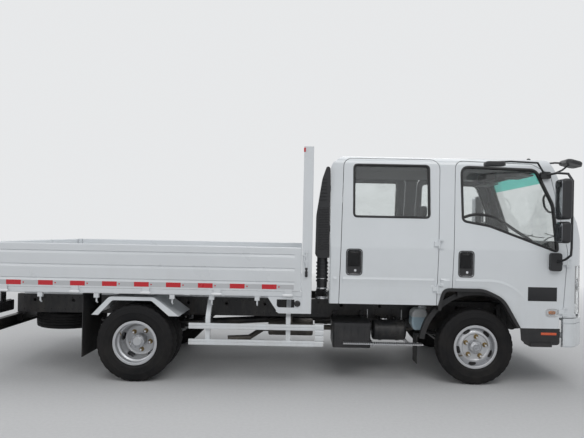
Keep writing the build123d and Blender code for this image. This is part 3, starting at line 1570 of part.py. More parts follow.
# Bed floor with its side sills, long runners, cross bearers, rope hooks and rear corner posts
def bed_floor():
    shape = block(bed_rear, bed_front, -sill_outer, sill_outer, bed_floor_top - bed_sheet, bed_floor_top)
    sill = front_prism(rounded([
        (sill_inner, floor_under, 0), (sill_outer, floor_under, 10), (sill_outer, bed_floor_top, 0),
        (sill_inner, bed_floor_top, 0),
    ]), bed_rear, bed_front)
    shape += both(sill)
    shape += block(bed_rear, bed_rear + sill_width, -sill_outer, sill_outer, floor_under, bed_floor_top)
    shape += both(block(bed_rear + 60, bed_front, runner_y - 30, runner_y + 30, rail_top, floor_under + 2))
    half = bearer_width / 2
    for x in bearer_places:
        shape += block(x - half, x + half, -sill_outer + 1, sill_outer - 1, floor_under, bed_floor_top - 6)
    post = plan_prism(rounded([
        (bed_rear, sill_outer - corner_post, 0), (bed_rear, sill_outer, 8),
        (bed_rear + corner_post, sill_outer, 8),
        (bed_rear + corner_post, sill_outer - corner_post, 0),
    ]), bed_floor_top - 1, bed_floor_top + side_height)
    shape += both(post)
    for x in hook_places:
        shape += both(rope_hook(x))
    shape += both(hinge_set(side_hinge_point, side_hinge_places, side_lug))
    return shape + hinge_set(tail_hinge_point, tail_hinge_places, tail_lug)


write("bed_floor", bed_floor())


def pressed_wall(outer, inner, top_radius):
    """Cross section of a pressed bed wall, from its outer and inner face (distance, height): at each groove
    the outer face steps in and slopes back out below, and the inner face has a shallow channel."""
    sign = 1 if outer > inner else -1
    rows = [(inner, side_bottom, 0), (outer, side_bottom, 0)]
    for z in groove_places:
        rows += [(outer, z - groove_height, 0), (outer - sign * groove_depth, z - 3, 0), (outer, z, 0)]
    rows += [(outer, side_top, top_radius), (inner, side_top, top_radius)]
    for z in reversed(groove_places):
        rows += [(inner, z, 0), (inner + sign * 6, z - 4, 0), (inner + sign * 6, z - 18, 0),
                 (inner, z - 22, 0)]
    return rounded(rows)


def flat_wall(outer, inner, top_radius):
    return rounded([
        (inner, side_bottom, 0), (outer, side_bottom, 0), (outer, side_top, top_radius),
        (inner, side_top, top_radius),
    ])


# Drop sides: pressed panels between flat stiles, with hinge straps
def drop_side():
    """Left-hand drop side."""
    inner = bed_half_width - side_thickness
    panel = front_prism(pressed_wall(bed_half_width, inner, 10), side_rear + side_stile,
                        side_front - side_stile)
    for x0 in (side_rear, side_front - side_stile):
        panel += front_prism(flat_wall(bed_half_width, inner, 10), x0, x0 + side_stile)
    for x in side_hinge_places:
        strap = block(x - hinge_barrel_half, x + hinge_barrel_half, bed_half_width - 2, side_hinge_y + 3,
                      bed_hinge_z, side_bottom + 18)
        strap -= block(x - hinge_barrel_half - 5, x + hinge_barrel_half + 5, bed_half_width - 5,
                       bed_half_width + 3,
                       bed_hinge_z - 20, side_bottom)
        ends = (side_hinge_point(x - hinge_barrel_half), side_hinge_point(x + hinge_barrel_half))
        panel += strap + rod(*ends, hinge_barrel_radius)
        panel -= rod(*ends, hinge_pin_radius + pin_clearance)
    return panel


drop_side_left = drop_side()
write("drop_side_left", drop_side_left)
write("drop_side_right", mirrored(drop_side_left))


# Tailgate: the same pressed wall across the rear
def tailgate():
    inner = tailgate_outer + side_thickness
    half = bed_half_width - side_gap
    panel = side_prism(pressed_wall(tailgate_outer, inner, 10), -half + side_stile, half - side_stile)
    for y0 in (-half, half - side_stile):
        panel += side_prism(flat_wall(tailgate_outer, inner, 10), y0, y0 + side_stile)
    for y in tail_hinge_places:
        strap = block(tail_hinge_x - 3, tailgate_outer + 2, y - hinge_barrel_half, y + hinge_barrel_half,
                      bed_hinge_z, side_bottom + 18)
        strap -= block(tailgate_outer - 3, tailgate_outer + 5, y - hinge_barrel_half - 5,
                       y + hinge_barrel_half + 5,
                       bed_hinge_z - 20, side_bottom)
        ends = (tail_hinge_point(y - hinge_barrel_half), tail_hinge_point(y + hinge_barrel_half))
        panel += strap + rod(*ends, hinge_barrel_radius)
        panel -= rod(*ends, hinge_pin_radius + pin_clearance)
    return panel


write("tailgate", tailgate())

post_rear = bed_front
post_front = bed_front + post_width
post_bottom = rail_top - 54
gusset_plate = 8
wall_top = side_top
rack_bar = 40
rack_bar_depth = 30
latch_x = bed_front + 42
latch_rod_radius = 7


# Headboard: two posts with gusset plates below, a pressed wall between them and an open rack above
def headboard():
    inner = bed_half_width - post_depth
    post = plan_prism(rounded_box(post_rear, post_front, inner, bed_half_width, 9), post_bottom,
                      headboard_top)
    gusset = side_prism(rounded([
        (bed_front - 329, floor_under, 0), (bed_front + 5, floor_under, 0), (bed_front + 5, post_bottom, 0),
        (bed_front - 223, post_bottom, 20),
    ]), bed_half_width - gusset_plate, bed_half_width)
    slot = rounded([
        (bed_front - 237, post_bottom + 56, 25), (bed_front - 67, post_bottom + 56, 5),
        (bed_front - 67, post_bottom + 134, 5), (bed_front - 237, post_bottom + 134, 5),
    ])
    gusset -= side_prism(slot, bed_half_width - 20, bed_half_width + 5)
    latch = rod((latch_x, bed_half_width + 14, bed_floor_top + 190),
                (latch_x, bed_half_width + 14, side_top - 20),
                latch_rod_radius)
    for z in (bed_floor_top + 200, bed_floor_top + 290, side_top - 50):
        latch += block(latch_x - 13, latch_x + 13, bed_half_width - 1, bed_half_width + 23, z, z + 16)
    shape = both(post + gusset + latch)
    shape += side_prism(pressed_wall(bed_front, bed_front + rack_bar, 4), -inner, inner)
    shape += block(bed_front, bed_front + rack_bar, -inner, inner, floor_under + 11, side_bottom + 1)
    shape += block(bed_front, bed_front + 50, -inner, inner, headboard_top - 60, headboard_top)
    bar0 = bed_front + 5
    open_height = headboard_top - 60 - wall_top
    half = rack_bar / 2
    for part in (0.3, 0.63):
        z = wall_top + part * open_height
        shape += side_prism(rounded_box(bar0, bar0 + rack_bar_depth, z - half, z + half, 6), -inner, inner)
    for part in (-0.5, 0, 0.5):
        y = part * 2 * inner * 0.54
        shape += block(bar0, bar0 + rack_bar_depth, y - half, y + half, wall_top - 1, headboard_top - 59)
    foot = block(bed_front, bed_front + 60, rail_outer_y - 60, rail_outer_y, rail_top, floor_under + 12)
    return shape + both(foot)


write("headboard", headboard())

guard_outer = bed_half_width - 5
guard_inner = guard_outer - 30
guard_rear = bed_front - 1081
guard_front = bed_front + 219
guard_top = rail_bottom + 35
guard_low = rail_bottom - 173
guard_rail_height = 54
guard_end_length = 84
guard_end_rows = 4
guard_post_half = 22
guard_top_y = bed_half_width - 215


def guard_rail(x0, x1, z0, z1, stand):
    """Rolled rail with a shallow groove along the middle of its outer face."""
    middle = (z0 + z1) / 2
    outer = guard_outer + stand
    return front_prism(rounded([
        (guard_inner, z0, 4), (outer, z0, 7), (outer, middle - 5, 0), (outer - 4, middle - 2, 0),
        (outer - 4, middle + 2, 0), (outer, middle + 5, 0), (outer, z1, 7), (guard_inner, z1, 4),
    ]), x0, x1)


# Side guards: two grooved rails, a ribbed end and two posts that bend in under the bed
def side_guard():
    top_rail = guard_rail(guard_rear, guard_front - 20, guard_top - guard_rail_height, guard_top, 0)
    low_rail = guard_rail(guard_rear, guard_front - 20, guard_low, guard_low + guard_rail_height, 0)
    shape = top_rail + low_rail
    pitch = (guard_top + 6 - guard_low) / guard_end_rows
    for index in range(guard_end_rows):
        z = guard_low + index * pitch
        segment = rounded([
            (guard_inner - 4, z, 0), (guard_outer + 6, z, 14), (guard_outer + 6, z + pitch, 14),
            (guard_inner - 4, z + pitch, 0),
        ])
        shape += front_prism(segment, guard_front - guard_end_length, guard_front)
    bend = rounded([
        (guard_inner + 1, guard_low + 4, 0), (guard_inner + 1, guard_top + 60, 150),
        (guard_top_y + 20, floor_under, 0),
        (guard_top_y - 20, floor_under, 0), (guard_inner - 39, guard_top + 50, 120),
        (guard_inner - 39, guard_low + 4, 0),
    ])
    for x in guard_post_x:
        shape += front_prism(bend, x - guard_post_half, x + guard_post_half)
        shape += block(x - guard_post_half - 20, x + guard_post_half + 20, guard_top_y - 60,
                       guard_top_y + 30,
                       floor_under - 8, floor_under)
    return shape


write("side_guards", pair(side_guard()))

underrun_rear = rear_end + 10
underrun_low = rail_bottom - 130
underrun_height = 115
underrun_depth = 77
underrun_half = bed_half_width - 90


# Rear underrun beam, an open channel with closed ends, on two hangers from the rails
def underrun():
    low = underrun_low
    high = underrun_low + underrun_height
    front = underrun_rear + underrun_depth
    outline = rounded([
        (underrun_rear, low, 14), (front, low, 6), (front, low + 8, 0), (underrun_rear + 9, low + 8, 8),
        (underrun_rear + 9, high - 8, 8), (front, high - 8, 0), (front, high, 6), (underrun_rear, high, 14),
    ])
    shape = side_prism(outline, -underrun_half, underrun_half)
    for side in (-1, 1):
        end_y = side * (underrun_half - 4)
        shape += block(underrun_rear + 2, front, end_y - 4, end_y + 4, low + 1, high - 1)
        hanger = rounded([
            (underrun_rear + 5, low + 20, 0), (front, low + 20, 20), (rail_rear + 30, rail_bottom - 40, 20),
            (rail_rear + 90, rail_bottom, 0), (rail_rear + 4, rail_bottom, 0), (underrun_rear + 5, high, 0),
        ])
        y = side * (rail_outer_y - 33)
        shape += side_prism(hanger, y - 6, y + 6)
    return shape


write("rear_underrun", underrun())

fender_inner = rear_inner_wheel_y - 108
fender_outer = rear_outer_wheel_y + 113
fender_top = tyre_radius + axle_z + 78
fender_low = fender_top - 180
fender_plate = 9
fender_lip = 10


# Rear fenders: bent strips over the twin wheels with a turned-down lip, hung from the bed
def rear_fender():
    x = rear_axle_x
    outer = [(x - 414, fender_low), (x - 244, fender_top), (x + 186, fender_top), (x + 436, fender_low)]
    lip = rounded([
        (x - 414, fender_low, 0), (x - 244, fender_top, 60), (x + 186, fender_top, 60),
        (x + 436, fender_low, 0),
        (x + 336, fender_low, 0), (x + 166, fender_top - 35, 50), (x - 214, fender_top - 35, 50),
        (x - 349, fender_low, 0),
    ])
    inset = fender_plate
    strip = rounded([
        (outer[0][0], outer[0][1], 0), (outer[1][0], outer[1][1], 60), (outer[2][0], outer[2][1], 60),
        (outer[3][0], outer[3][1], 0), (outer[3][0] - 1.5 * inset, outer[3][1], 0),
        (outer[2][0] - 4, outer[2][1] - inset, 54), (outer[1][0] + 4, outer[1][1] - inset, 54),
        (outer[0][0] + 1.5 * inset, outer[0][1], 0),
    ])
    shape = side_prism(strip, fender_inner,
                       fender_outer) + side_prism(lip, fender_outer - fender_lip, fender_outer)
    for lug_x in (x - 164, x + 116):
        shape += block(lug_x - 20, lug_x + 20, fender_inner + 50, fender_inner + 90, fender_top - 5,
                       floor_under)
    return shape


write("rear_fenders", pair(rear_fender()))

flap_plate = 8
flap_low = axle_z - 141
front_flap_x = front_axle_x - liner_radius - 66
front_flap_low = axle_z - 180
front_flap_high = axle_z + 98
front_flap_outer = step_inner - 5


# Mud flaps: a pair behind the rear wheels and a pair hung from the liners behind the front wheels
def rear_flap():
    return side_prism(rounded([
        (flap_x - flap_plate / 2, flap_low, 3), (flap_x + flap_plate / 2, flap_low, 3),
        (flap_x + flap_plate / 2, floor_under, 0), (flap_x - flap_plate / 2, floor_under, 0),
    ]), fender_inner, fender_outer - 15)


def front_flap():
    sheet = block(front_flap_x, front_flap_x + flap_plate, liner_inner, front_flap_outer, front_flap_low,
                  front_flap_high)
    bracket = block(front_flap_x, front_flap_x + 85, liner_inner + 40, front_flap_outer - 40,
                    front_flap_high - 20,
                    front_flap_high)
    return sheet + bracket - cross_rod(front_axle_x, axle_z, liner_inner, liner_outer,
                                       liner_radius + liner_plate + seat_gap)


write("mud_flaps", pair(rear_flap(), front_flap()))

lamp_box_rear = rear_end + 35
lamp_box_depth = 62
lamp_box_inner = bed_half_width - 530
lamp_box_outer = bed_half_width - 190
lamp_box_low = rail_bottom + 50
lamp_box_height = 108


# Rear lamps: a moulded cluster with its rim on each side, hung from the bed's rear sill
def rear_lamp():
    high = lamp_box_low + lamp_box_height
    shape = front_prism(rounded_box(lamp_box_inner, lamp_box_outer, lamp_box_low, high, 16),
                        lamp_box_rear, lamp_box_rear + lamp_box_depth)
    rim_face = offset(rounded_box(lamp_box_inner, lamp_box_outer, lamp_box_low, high, 16), 5)
    shape += front_prism(rim_face, lamp_box_rear + 26, lamp_box_rear + 34)
    middle = (lamp_box_inner + lamp_box_outer) / 2
    return shape + block(lamp_box_rear + 36, lamp_box_rear + 52, middle - 40, middle + 40, high - 1,
                         floor_under)


write("rear_lamps", pair(rear_lamp()))
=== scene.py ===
import json
import math

import bmesh
import bpy
from mathutils import Matrix, Vector


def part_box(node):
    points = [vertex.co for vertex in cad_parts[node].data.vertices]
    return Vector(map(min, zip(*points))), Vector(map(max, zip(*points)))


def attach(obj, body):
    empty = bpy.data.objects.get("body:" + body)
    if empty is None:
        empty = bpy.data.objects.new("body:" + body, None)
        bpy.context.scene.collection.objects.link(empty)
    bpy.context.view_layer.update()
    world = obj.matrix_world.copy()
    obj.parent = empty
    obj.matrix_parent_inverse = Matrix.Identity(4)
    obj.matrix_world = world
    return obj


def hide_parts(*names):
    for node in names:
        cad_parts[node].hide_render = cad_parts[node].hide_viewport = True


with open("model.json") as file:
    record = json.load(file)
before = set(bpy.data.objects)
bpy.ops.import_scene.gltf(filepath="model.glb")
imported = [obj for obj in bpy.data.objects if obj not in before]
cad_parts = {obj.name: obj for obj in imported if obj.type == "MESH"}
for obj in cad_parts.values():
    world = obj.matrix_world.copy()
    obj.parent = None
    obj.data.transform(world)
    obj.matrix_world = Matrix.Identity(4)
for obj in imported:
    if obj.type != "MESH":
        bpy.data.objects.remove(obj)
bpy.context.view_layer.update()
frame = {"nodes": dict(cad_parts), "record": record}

nodes = frame["nodes"]
slot_of = {part["node"]: part["material_slot"] for part in frame["record"]["subparts"]}


# Procedural materials
def wire(node, inputs):
    """Sets a node's inputs to numbers, vectors or colours, or links outputs to them."""
    for name, value in inputs.items():
        socket = node.inputs[name]
        if isinstance(value, bpy.types.NodeSocket):
            node.id_data.links.new(value, socket)
        elif isinstance(value, tuple):
            socket.default_value = (*value, 1)[:len(socket.default_value)]
        else:
            socket.default_value = value
    return node


def add_node(near, kind, inputs, **settings):
    """A node in the same tree as another node or socket."""
    node = near.id_data.nodes.new("ShaderNode" + kind)
    for name, value in settings.items():
        setattr(node, name, value)
    return wire(node, inputs)


def new_material(name, color, roughness, metallic=0.0):
    """A node material; returns it, its shader and the part's own coordinates."""
    material = bpy.data.materials.new(name)
    material.use_nodes = True
    shader = material.node_tree.nodes["Principled BSDF"]
    wire(shader, {"Base Color": color, "Roughness": roughness, "Metallic": metallic})
    return material, shader, add_node(shader, "TexCoord", {}).outputs["Object"]


def noise(place, scale, detail=4.0, rough=0.55, stretch=(1, 1, 1)):
    """Noise in the part's own coordinates, drawn out where a stretch is under 1."""
    mapping = add_node(place, "Mapping", {"Vector": place, "Scale": stretch})
    return add_node(place, "TexNoise", {"Vector": mapping.outputs["Vector"], "Scale": scale, "Detail": detail,
                                        "Roughness": rough}).outputs["Fac"]


def ramp(value, low, first, high, second):
    """Colour ramp from one colour at low to another at high."""
    node = add_node(value, "ValToRGB", {"Fac": value})
    for element, position, color in zip(node.color_ramp.elements, (low, high), (first, second)):
        element.position = position
        element.color = (*color, 1)
    return node.outputs["Color"]


def span(value, low, high, out_low, out_high):
    """Maps a range of a value to another range."""
    return add_node(value, "MapRange", {"Value": value, "From Min": low, "From Max": high, "To Min": out_low,
                                        "To Max": out_high}).outputs["Result"]


def mixed(factor, first, second):
    """Mix of two colours."""
    return add_node(factor, "Mix", {0: factor, 6: first, 7: second}, data_type="RGBA").outputs[2]


def product(first, second, operation="MULTIPLY"):
    """Product, or another operation, of two numbers."""
    return add_node(first, "Math", {0: first, 1: second}, operation=operation).outputs[0]


def bump(height, strength, distance):
    """Normal from a height; the distance is in metres."""
    return add_node(height, "Bump", {"Height": height, "Strength": strength, "Distance": distance}).outputs["Normal"]


def scaled(color, share):
    return tuple(c * share for c in color)


def dust_low(place, value, from_value, to_value, low, high, amount):
    """Share of dust where a noise is high, up to an amount at the low height and none above the high one."""
    height = add_node(place, "SeparateXYZ", {"Vector": place}).outputs["Z"]
    return product(product(span(value, from_value, to_value, 0.0, 1.0), span(height, low, high, 1.0, 0.0)), amount)


road_dust = (0.42, 0.37, 0.3)
plastic_dust = (0.23, 0.2, 0.165)
metal_dust = (0.3, 0.26, 0.21)
peel_depth = 0.0002


def painted(name, color, roughness, dust, coat=0.0):
    """Paint with orange peel, faint cloudiness and road dust that thickens low down."""
    material, shader, place = new_material(name, color, roughness)
    cloud = noise(place, 2.2, 5.0)
    dusty = dust_low(place, noise(place, 9.0, 8.0, 0.7, (1, 1, 0.35)), 0.42, 0.75, 0.35, 1.25, dust)
    polish = span(cloud, 0.3, 0.7, roughness * 0.85, roughness * 1.2)
    wire(shader, {"Base Color": mixed(dusty, ramp(cloud, 0.3, scaled(color, 0.955), 0.7, color), road_dust),
                  "Roughness": product(polish, product(dusty, 0.35), "ADD"), "Coat Weight": coat,
                  "Coat Roughness": 0.05, "Normal": bump(noise(place, 260.0, 2.0), 0.12, peel_depth)})
    return material


def grained(name, color, roughness, dust=0.25, grain=420.0, depth=0.0004):
    """Moulded plastic or rubber with a leather-like grain and dust low down."""
    material, shader, place = new_material(name, color, roughness)
    cells = add_node(place, "TexVoronoi", {"Scale": grain, "Vector": place})
    cloud = noise(place, 5.0, 6.0, 0.65)
    dusty = dust_low(place, cloud, 0.38, 0.72, 0.2, 1.1, dust)
    shade = ramp(cloud, 0.25, scaled(color, 0.75), 0.75, scaled(color, 1.25))
    wire(shader, {"Base Color": mixed(dusty, shade, plastic_dust),
                  "Roughness": span(cloud, 0.3, 0.7, roughness * 0.85, min(1.0, roughness * 1.15)),
                  "Normal": bump(cells.outputs["Distance"], 0.35, depth)})
    return material


def metal(name, color, roughness, metallic=1.0, brushed=90.0, dust=0.0):
    """Metal with a fine unevenness in its polish, and dust in its clouds."""
    material, shader, place = new_material(name, color, roughness, metallic)
    streaks = noise(place, brushed, 3.0, 0.6)
    cloud = noise(place, 6.0, 5.0, 0.6)
    dusty = product(span(cloud, 0.45, 0.8, 0.0, 1.0), dust)
    wire(shader, {"Base Color": mixed(dusty, ramp(cloud, 0.3, scaled(color, 0.82), 0.7, color), metal_dust),
                  "Roughness": span(streaks, 0.3, 0.7, roughness * 0.8, roughness * 1.3),
                  "Normal": bump(streaks, 0.08, 0.0006)})
    return material


def glazing(name, color, roughness, transmission, ior=1.45):
    """Glass or a lens, faintly smeared."""
    material, shader, place = new_material(name, color, roughness)
    smear = noise(place, 7.0, 6.0, 0.7, (1, 1, 2.5))
    wire(shader, {"Base Color": ramp(smear, 0.3, scaled(color, 0.93), 0.8, color),
                  "Roughness": span(smear, 0.35, 0.8, roughness, roughness + 0.07), "IOR": ior,
                  "Transmission Weight": transmission, "Normal": bump(smear, 0.03, 0.0005)})
    return material


def woven(name, color, second, roughness=0.92, pitch=900.0):
    """Cloth: two crossed waves between two colours, with worn clouds and a sheen."""
    material, shader, place = new_material(name, color, roughness)
    weave = product(*[add_node(place, "TexWave", {"Scale": pitch / 6.283, "Distortion": 0.4, "Vector": place},
                               bands_direction=direction).outputs["Fac"] for direction in ("X", "Z")])
    cloud = noise(place, 14.0, 6.0, 0.6)
    worn = span(cloud, 0.4, 0.7, 0.0, 0.35)
    wire(shader, {"Base Color": mixed(worn, mixed(weave, color, second), scaled(color, 0.6)),
                  "Roughness": span(cloud, 0.3, 0.7, 0.82, 0.98), "Sheen Weight": 0.25,
                  "Normal": bump(weave, 0.4, 0.0005)})
    return material


paint = painted("white_enamel", (0.755, 0.785, 0.805), 0.22, 0.16, coat=0.6)
bed_paint = painted("bed_enamel", (0.74, 0.765, 0.785), 0.3, 0.3, coat=0.3)
chassis_paint = painted("chassis_black", (0.016, 0.016, 0.018), 0.4, 0.16)
plastic = grained("black_moulding", (0.018, 0.0185, 0.021), 0.45, 0.1)
liner_plastic = grained("liner_moulding", (0.016, 0.016, 0.0175), 0.58, 0.12, 300.0)
cast = metal("cast_iron", (0.1, 0.095, 0.09), 0.62, 0.7, 120.0, 0.3)
exhaust_steel = metal("exhaust_steel", (0.17, 0.155, 0.14), 0.5, 0.8, 40.0, 0.3)
galvanised = metal("step_steel", (0.55, 0.56, 0.58), 0.38, 1.0, 60.0, 0.3)
wheel_silver = metal("wheel_silver", (0.6, 0.61, 0.63), 0.36, 0.55, 150.0, 0.12)
tyre_rubber = grained("tyre_rubber", (0.0075, 0.0075, 0.0085), 0.66, 0.07, 260.0, 0.0003)
tyre_rubber.node_tree.nodes["Principled BSDF"].inputs["Specular IOR Level"].default_value = 0.22
flap_rubber = grained("flap_rubber", (0.013, 0.013, 0.014), 0.65, 0.15, 200.0)
glass = glazing("window_glass", (0.93, 0.955, 0.95), 0.02, 0.97)
lamp_glass = glazing("lamp_glass", (0.95, 0.97, 0.98), 0.04, 0.9)
red_lens = glazing("red_lens", (0.62, 0.02, 0.015), 0.12, 0.35)
cloth = woven("seat_cloth", (0.1, 0.105, 0.115), (0.17, 0.175, 0.19))
translucent = glazing("bottle_plastic", (0.86, 0.88, 0.88), 0.32, 0.3)
zinc = metal("zinc_yellow", (0.34, 0.25, 0.12), 0.36, 1.0, 200.0)
hub_metal = metal("hub_metal", (0.46, 0.47, 0.49), 0.34, 0.9, 180.0, 0.1)
# Paler paint than the bed's, a painted highlight on the drop sides' hinge barrels
hinge_highlight_paint = painted("hinge_enamel", (0.86, 0.875, 0.885), 0.2, 0.05, coat=0.6)
bright_metal = metal("bright_metal", (0.72, 0.73, 0.75), 0.2, 1.0, 220.0)
chrome = metal("chromed", (0.86, 0.87, 0.89), 0.07, 1.0, 140.0)
seal_rubber = grained("seal_rubber", (0.012, 0.012, 0.013), 0.55, 0.1, 500.0, 0.0002)
gloss_black = grained("gloss_black", (0.014, 0.014, 0.016), 0.24, 0.12, 700.0, 0.00008)
headlining = woven("headlining", (0.34, 0.345, 0.35), (0.42, 0.42, 0.43), 0.95, 1400.0)
cabin_lining = woven("cabin_lining", (0.17, 0.178, 0.19), (0.21, 0.218, 0.23), 0.9, 1400.0)
fluid = glazing("washer_fluid", (0.62, 0.8, 0.9), 0.2, 0.2)
teal_tint = glazing("teal_tint", (0.05, 0.58, 0.46), 0.02, 0.96, ior=1.01)
mirror_glass = metal("mirror_glass", (0.3, 0.31, 0.33), 0.05, 1.0, 30.0)
orange_lens = painted("orange_lens", (0.75, 0.1, 0.02), 0.15, 0.1, coat=0.7)
amber = glazing("amber_lens", (0.9, 0.3, 0.04), 0.1, 0.45)
clear_trim = painted("clear_trim", (0.66, 0.67, 0.68), 0.12, 0.1, coat=0.8)
red_tape = painted("red_tape", (0.58, 0.006, 0.016), 0.3, 0.05, coat=0.3)
pale_tape = painted("pale_tape", (0.56, 0.57, 0.585), 0.35, 0.2)
plate_face = painted("plate_face", (0.78, 0.78, 0.76), 0.35, 0.2)
sign_face = painted("sign_face", (0.006, 0.0065, 0.009), 0.38, 0.03)
pale_plastic = painted("pale_plastic", (0.74, 0.76, 0.78), 0.35, 0.15)

by_slot = {
    "white_paint": paint, "black_paint": chassis_paint, "black_plastic": plastic, "cast_metal": cast,
    "wheel_silver": wheel_silver, "tyre": tyre_rubber, "rubber": flap_rubber, "glass": glass,
    "lamp_glass": lamp_glass, "red_lamp": red_lens, "seat_cloth": cloth, "bottle_plastic": translucent,
    "step_steel": galvanised,
}
special = {
    "bed_floor": bed_paint, "headboard": bed_paint, "side_guards": bed_paint, "drop_side_right": bed_paint,
    "drop_side_left": bed_paint, "tailgate": bed_paint, "wheel_arches": liner_plastic, "rear_lamps": gloss_black,
    "cab_steps": galvanised, "exhaust": exhaust_steel,
}
for name, node in nodes.items():
    node.data.materials.clear()
    node.data.materials.append(special.get(name, by_slot[slot_of[name]]))


# Mesh helpers, in metres
sides = (("right", -1), ("left", 1))


def link(name, mesh, material, body, angle=35):
    """Links a mesh as a piece on a body, with its material and smooth shading below an edge angle."""
    mesh.materials.append(material)
    piece = bpy.data.objects.new(name, mesh)
    bpy.context.scene.collection.objects.link(piece)
    mesh.shade_smooth()
    mesh.set_sharp_from_angle(angle=math.radians(angle))
    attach(piece, body)
    return piece


def to_mesh(name, work):
    mesh = bpy.data.meshes.new(name)
    work.to_mesh(mesh)
    work.free()
    return mesh


def from_bmesh(name, work, material, body, angle=35):
    """Piece from a bmesh, its faces turned outward."""
    bmesh.ops.recalc_face_normals(work, faces=work.faces)
    return link(name, to_mesh(name, work), material, body, angle)


def add_piece(name, material, body, *shapes, angle=35, side=1):
    """Piece from shapes, each a mesh helper followed by its arguments; side -1 mirrors them."""
    work = bmesh.new()
    for helper, *values in shapes:
        helper(work, *values)
    for vertex in work.verts:
        vertex.co.y *= side
    work.normal_update()
    return from_bmesh(name, work, material, body, angle)


def both(name, material, body, *shapes):
    """A piece on each side, from shapes given for the left; the body has its side's name, or is the chassis."""
    for side_name, side in sides:
        add_piece(name + side_name, material, body if body == "chassis" else body + side_name, *shapes, side=side)


def turns(count):
    """Angles of a number of steps round a circle."""
    return [2 * math.pi * k / count for k in range(count)]


def bridge(work, rows, closed=True):
    """Faces between neighbouring rows of vertices; a row of one vertex is a tip."""
    for row, following in zip(rows, rows[1:]):
        count = max(len(row), len(following))
        for k in range(count if closed else count - 1):
            k2 = (k + 1) % count
            corners = [row[k % len(row)], row[k2 % len(row)], following[k2 % len(following)],
                       following[k % len(following)]]
            corners = list(dict.fromkeys(corners))
            if len(corners) > 2:
                work.faces.new(corners)


def capped(work, rings):
    """Rings of vertices joined and closed by their last one."""
    bridge(work, rings)
    work.faces.new(rings[-1])


def grid(work, columns, lines, place):
    """Sheet through place(u, v), with u and v from 0 to 1."""
    bridge(work, [[work.verts.new(place(i / columns, j / lines)) for j in range(lines + 1)]
                  for i in range(columns + 1)], closed=False)


def add_box(work, low, high, bevel=0.0, segments=2):
    """Box between two corners, with rounded edges."""
    made = bmesh.ops.create_cube(work, size=1.0)["verts"]
    middle = [(a + b) / 2 for a, b in zip(low, high)]
    size = [abs(b - a) for a, b in zip(low, high)]
    for vertex in made:
        vertex.co = Vector([m + v * s for m, v, s in zip(middle, vertex.co, size)])
    if bevel:
        edges = list({edge for vertex in made for edge in vertex.link_edges})
        bmesh.ops.bevel(work, geom=edges, offset=bevel, segments=segments, profile=0.6, affect="EDGES",
                        clamp_overlap=True)


def bend(start, middle, end, steps):
    """Points of a smooth bend from start to end that leans to middle."""
    return [start * (1 - t) ** 2 + middle * 2 * t * (1 - t) + end * t ** 2
            for t in [step / steps for step in range(steps + 1)]]


def arc_corner(a, b, c, radius, steps):
    """Points of the rounded corner b between a and c."""
    a, b, c = Vector(a), Vector(b), Vector(c)
    if radius <= 0:
        return [b]
    u, v = (a - b).normalized(), (c - b).normalized()
    reach = min(radius / math.tan(u.angle(v) / 2), (a - b).length * 0.499, (c - b).length * 0.499)
    return bend(b + u * reach, b, b + v * reach, steps)


def loop_points(rows, steps=7, gap=0.035):
    """Closed outline of rows (u, v, radius) as points at most a gap apart."""
    points = []
    for index, (u, v, radius) in enumerate(rows):
        points += arc_corner(rows[index - 1][:2], (u, v), rows[(index + 1) % len(rows)][:2], radius, steps)
    filled = []
    for point, following in zip(points, points[1:] + points[:1]):
        extra = int((following - point).length / gap)
        filled += [point.lerp(following, step / (extra + 1)) for step in range(extra + 1)]
    return filled


def oblong(x0, x1, z0, z1, radius):
    """Rows of an upright rectangle with rounded corners."""
    return [(x0, z0, radius), (x0, z1, radius), (x1, z1, radius), (x1, z0, radius)]


def grown_rows(rows, amount):
    """Rows of an outline moved outward, each radius grown with them."""
    count = len(rows)
    area = sum(rows[i][0] * rows[(i + 1) % count][1] - rows[(i + 1) % count][0] * rows[i][1] for i in range(count))
    sign = 1 if area > 0 else -1
    grown = []
    for index, (u, v, radius) in enumerate(rows):
        a, b, c = Vector(rows[index - 1][:2]), Vector((u, v)), Vector(rows[(index + 1) % count][:2])
        d1, d2 = (b - a).normalized(), (c - b).normalized()
        n1, n2 = Vector((d1.y, -d1.x)) * sign, Vector((d2.y, -d2.x)) * sign
        bisector = (n1 + n2).normalized()
        moved = b + bisector * (amount / max(0.3, bisector.dot(n1)))
        grown.append((moved.x, moved.y, max(0.0, radius + amount)))
    return grown


def sweep(work, points, normals, section):
    """Sweeps a section of (inward in the loop, proud of the surface) pairs round a loop of points."""
    rings = []
    for index, point in enumerate(points):
        tangent = (points[(index + 1) % len(points)] - points[index - 1]).normalized()
        normal = (normals[index] - tangent * normals[index].dot(tangent)).normalized()
        side = tangent.cross(normal)
        rings.append([work.verts.new(point + side * out + normal * up) for out, up in section])
    bridge(work, rings + rings[:1])


def revolve(work, centre, axis, rows, segments=48):
    """Revolves a line of (along the axis, radius) rows; a radius of 0 is a tip."""
    axis = Vector(axis).normalized()
    first = axis.orthogonal().normalized()
    second = axis.cross(first)
    centre = Vector(centre)
    rings = []
    for along, radius in rows:
        rings.append([work.verts.new(centre + axis * along + (first * math.cos(a) + second * math.sin(a)) * radius)
                      for a in turns(segments if radius else 1)])
    bridge(work, rings)


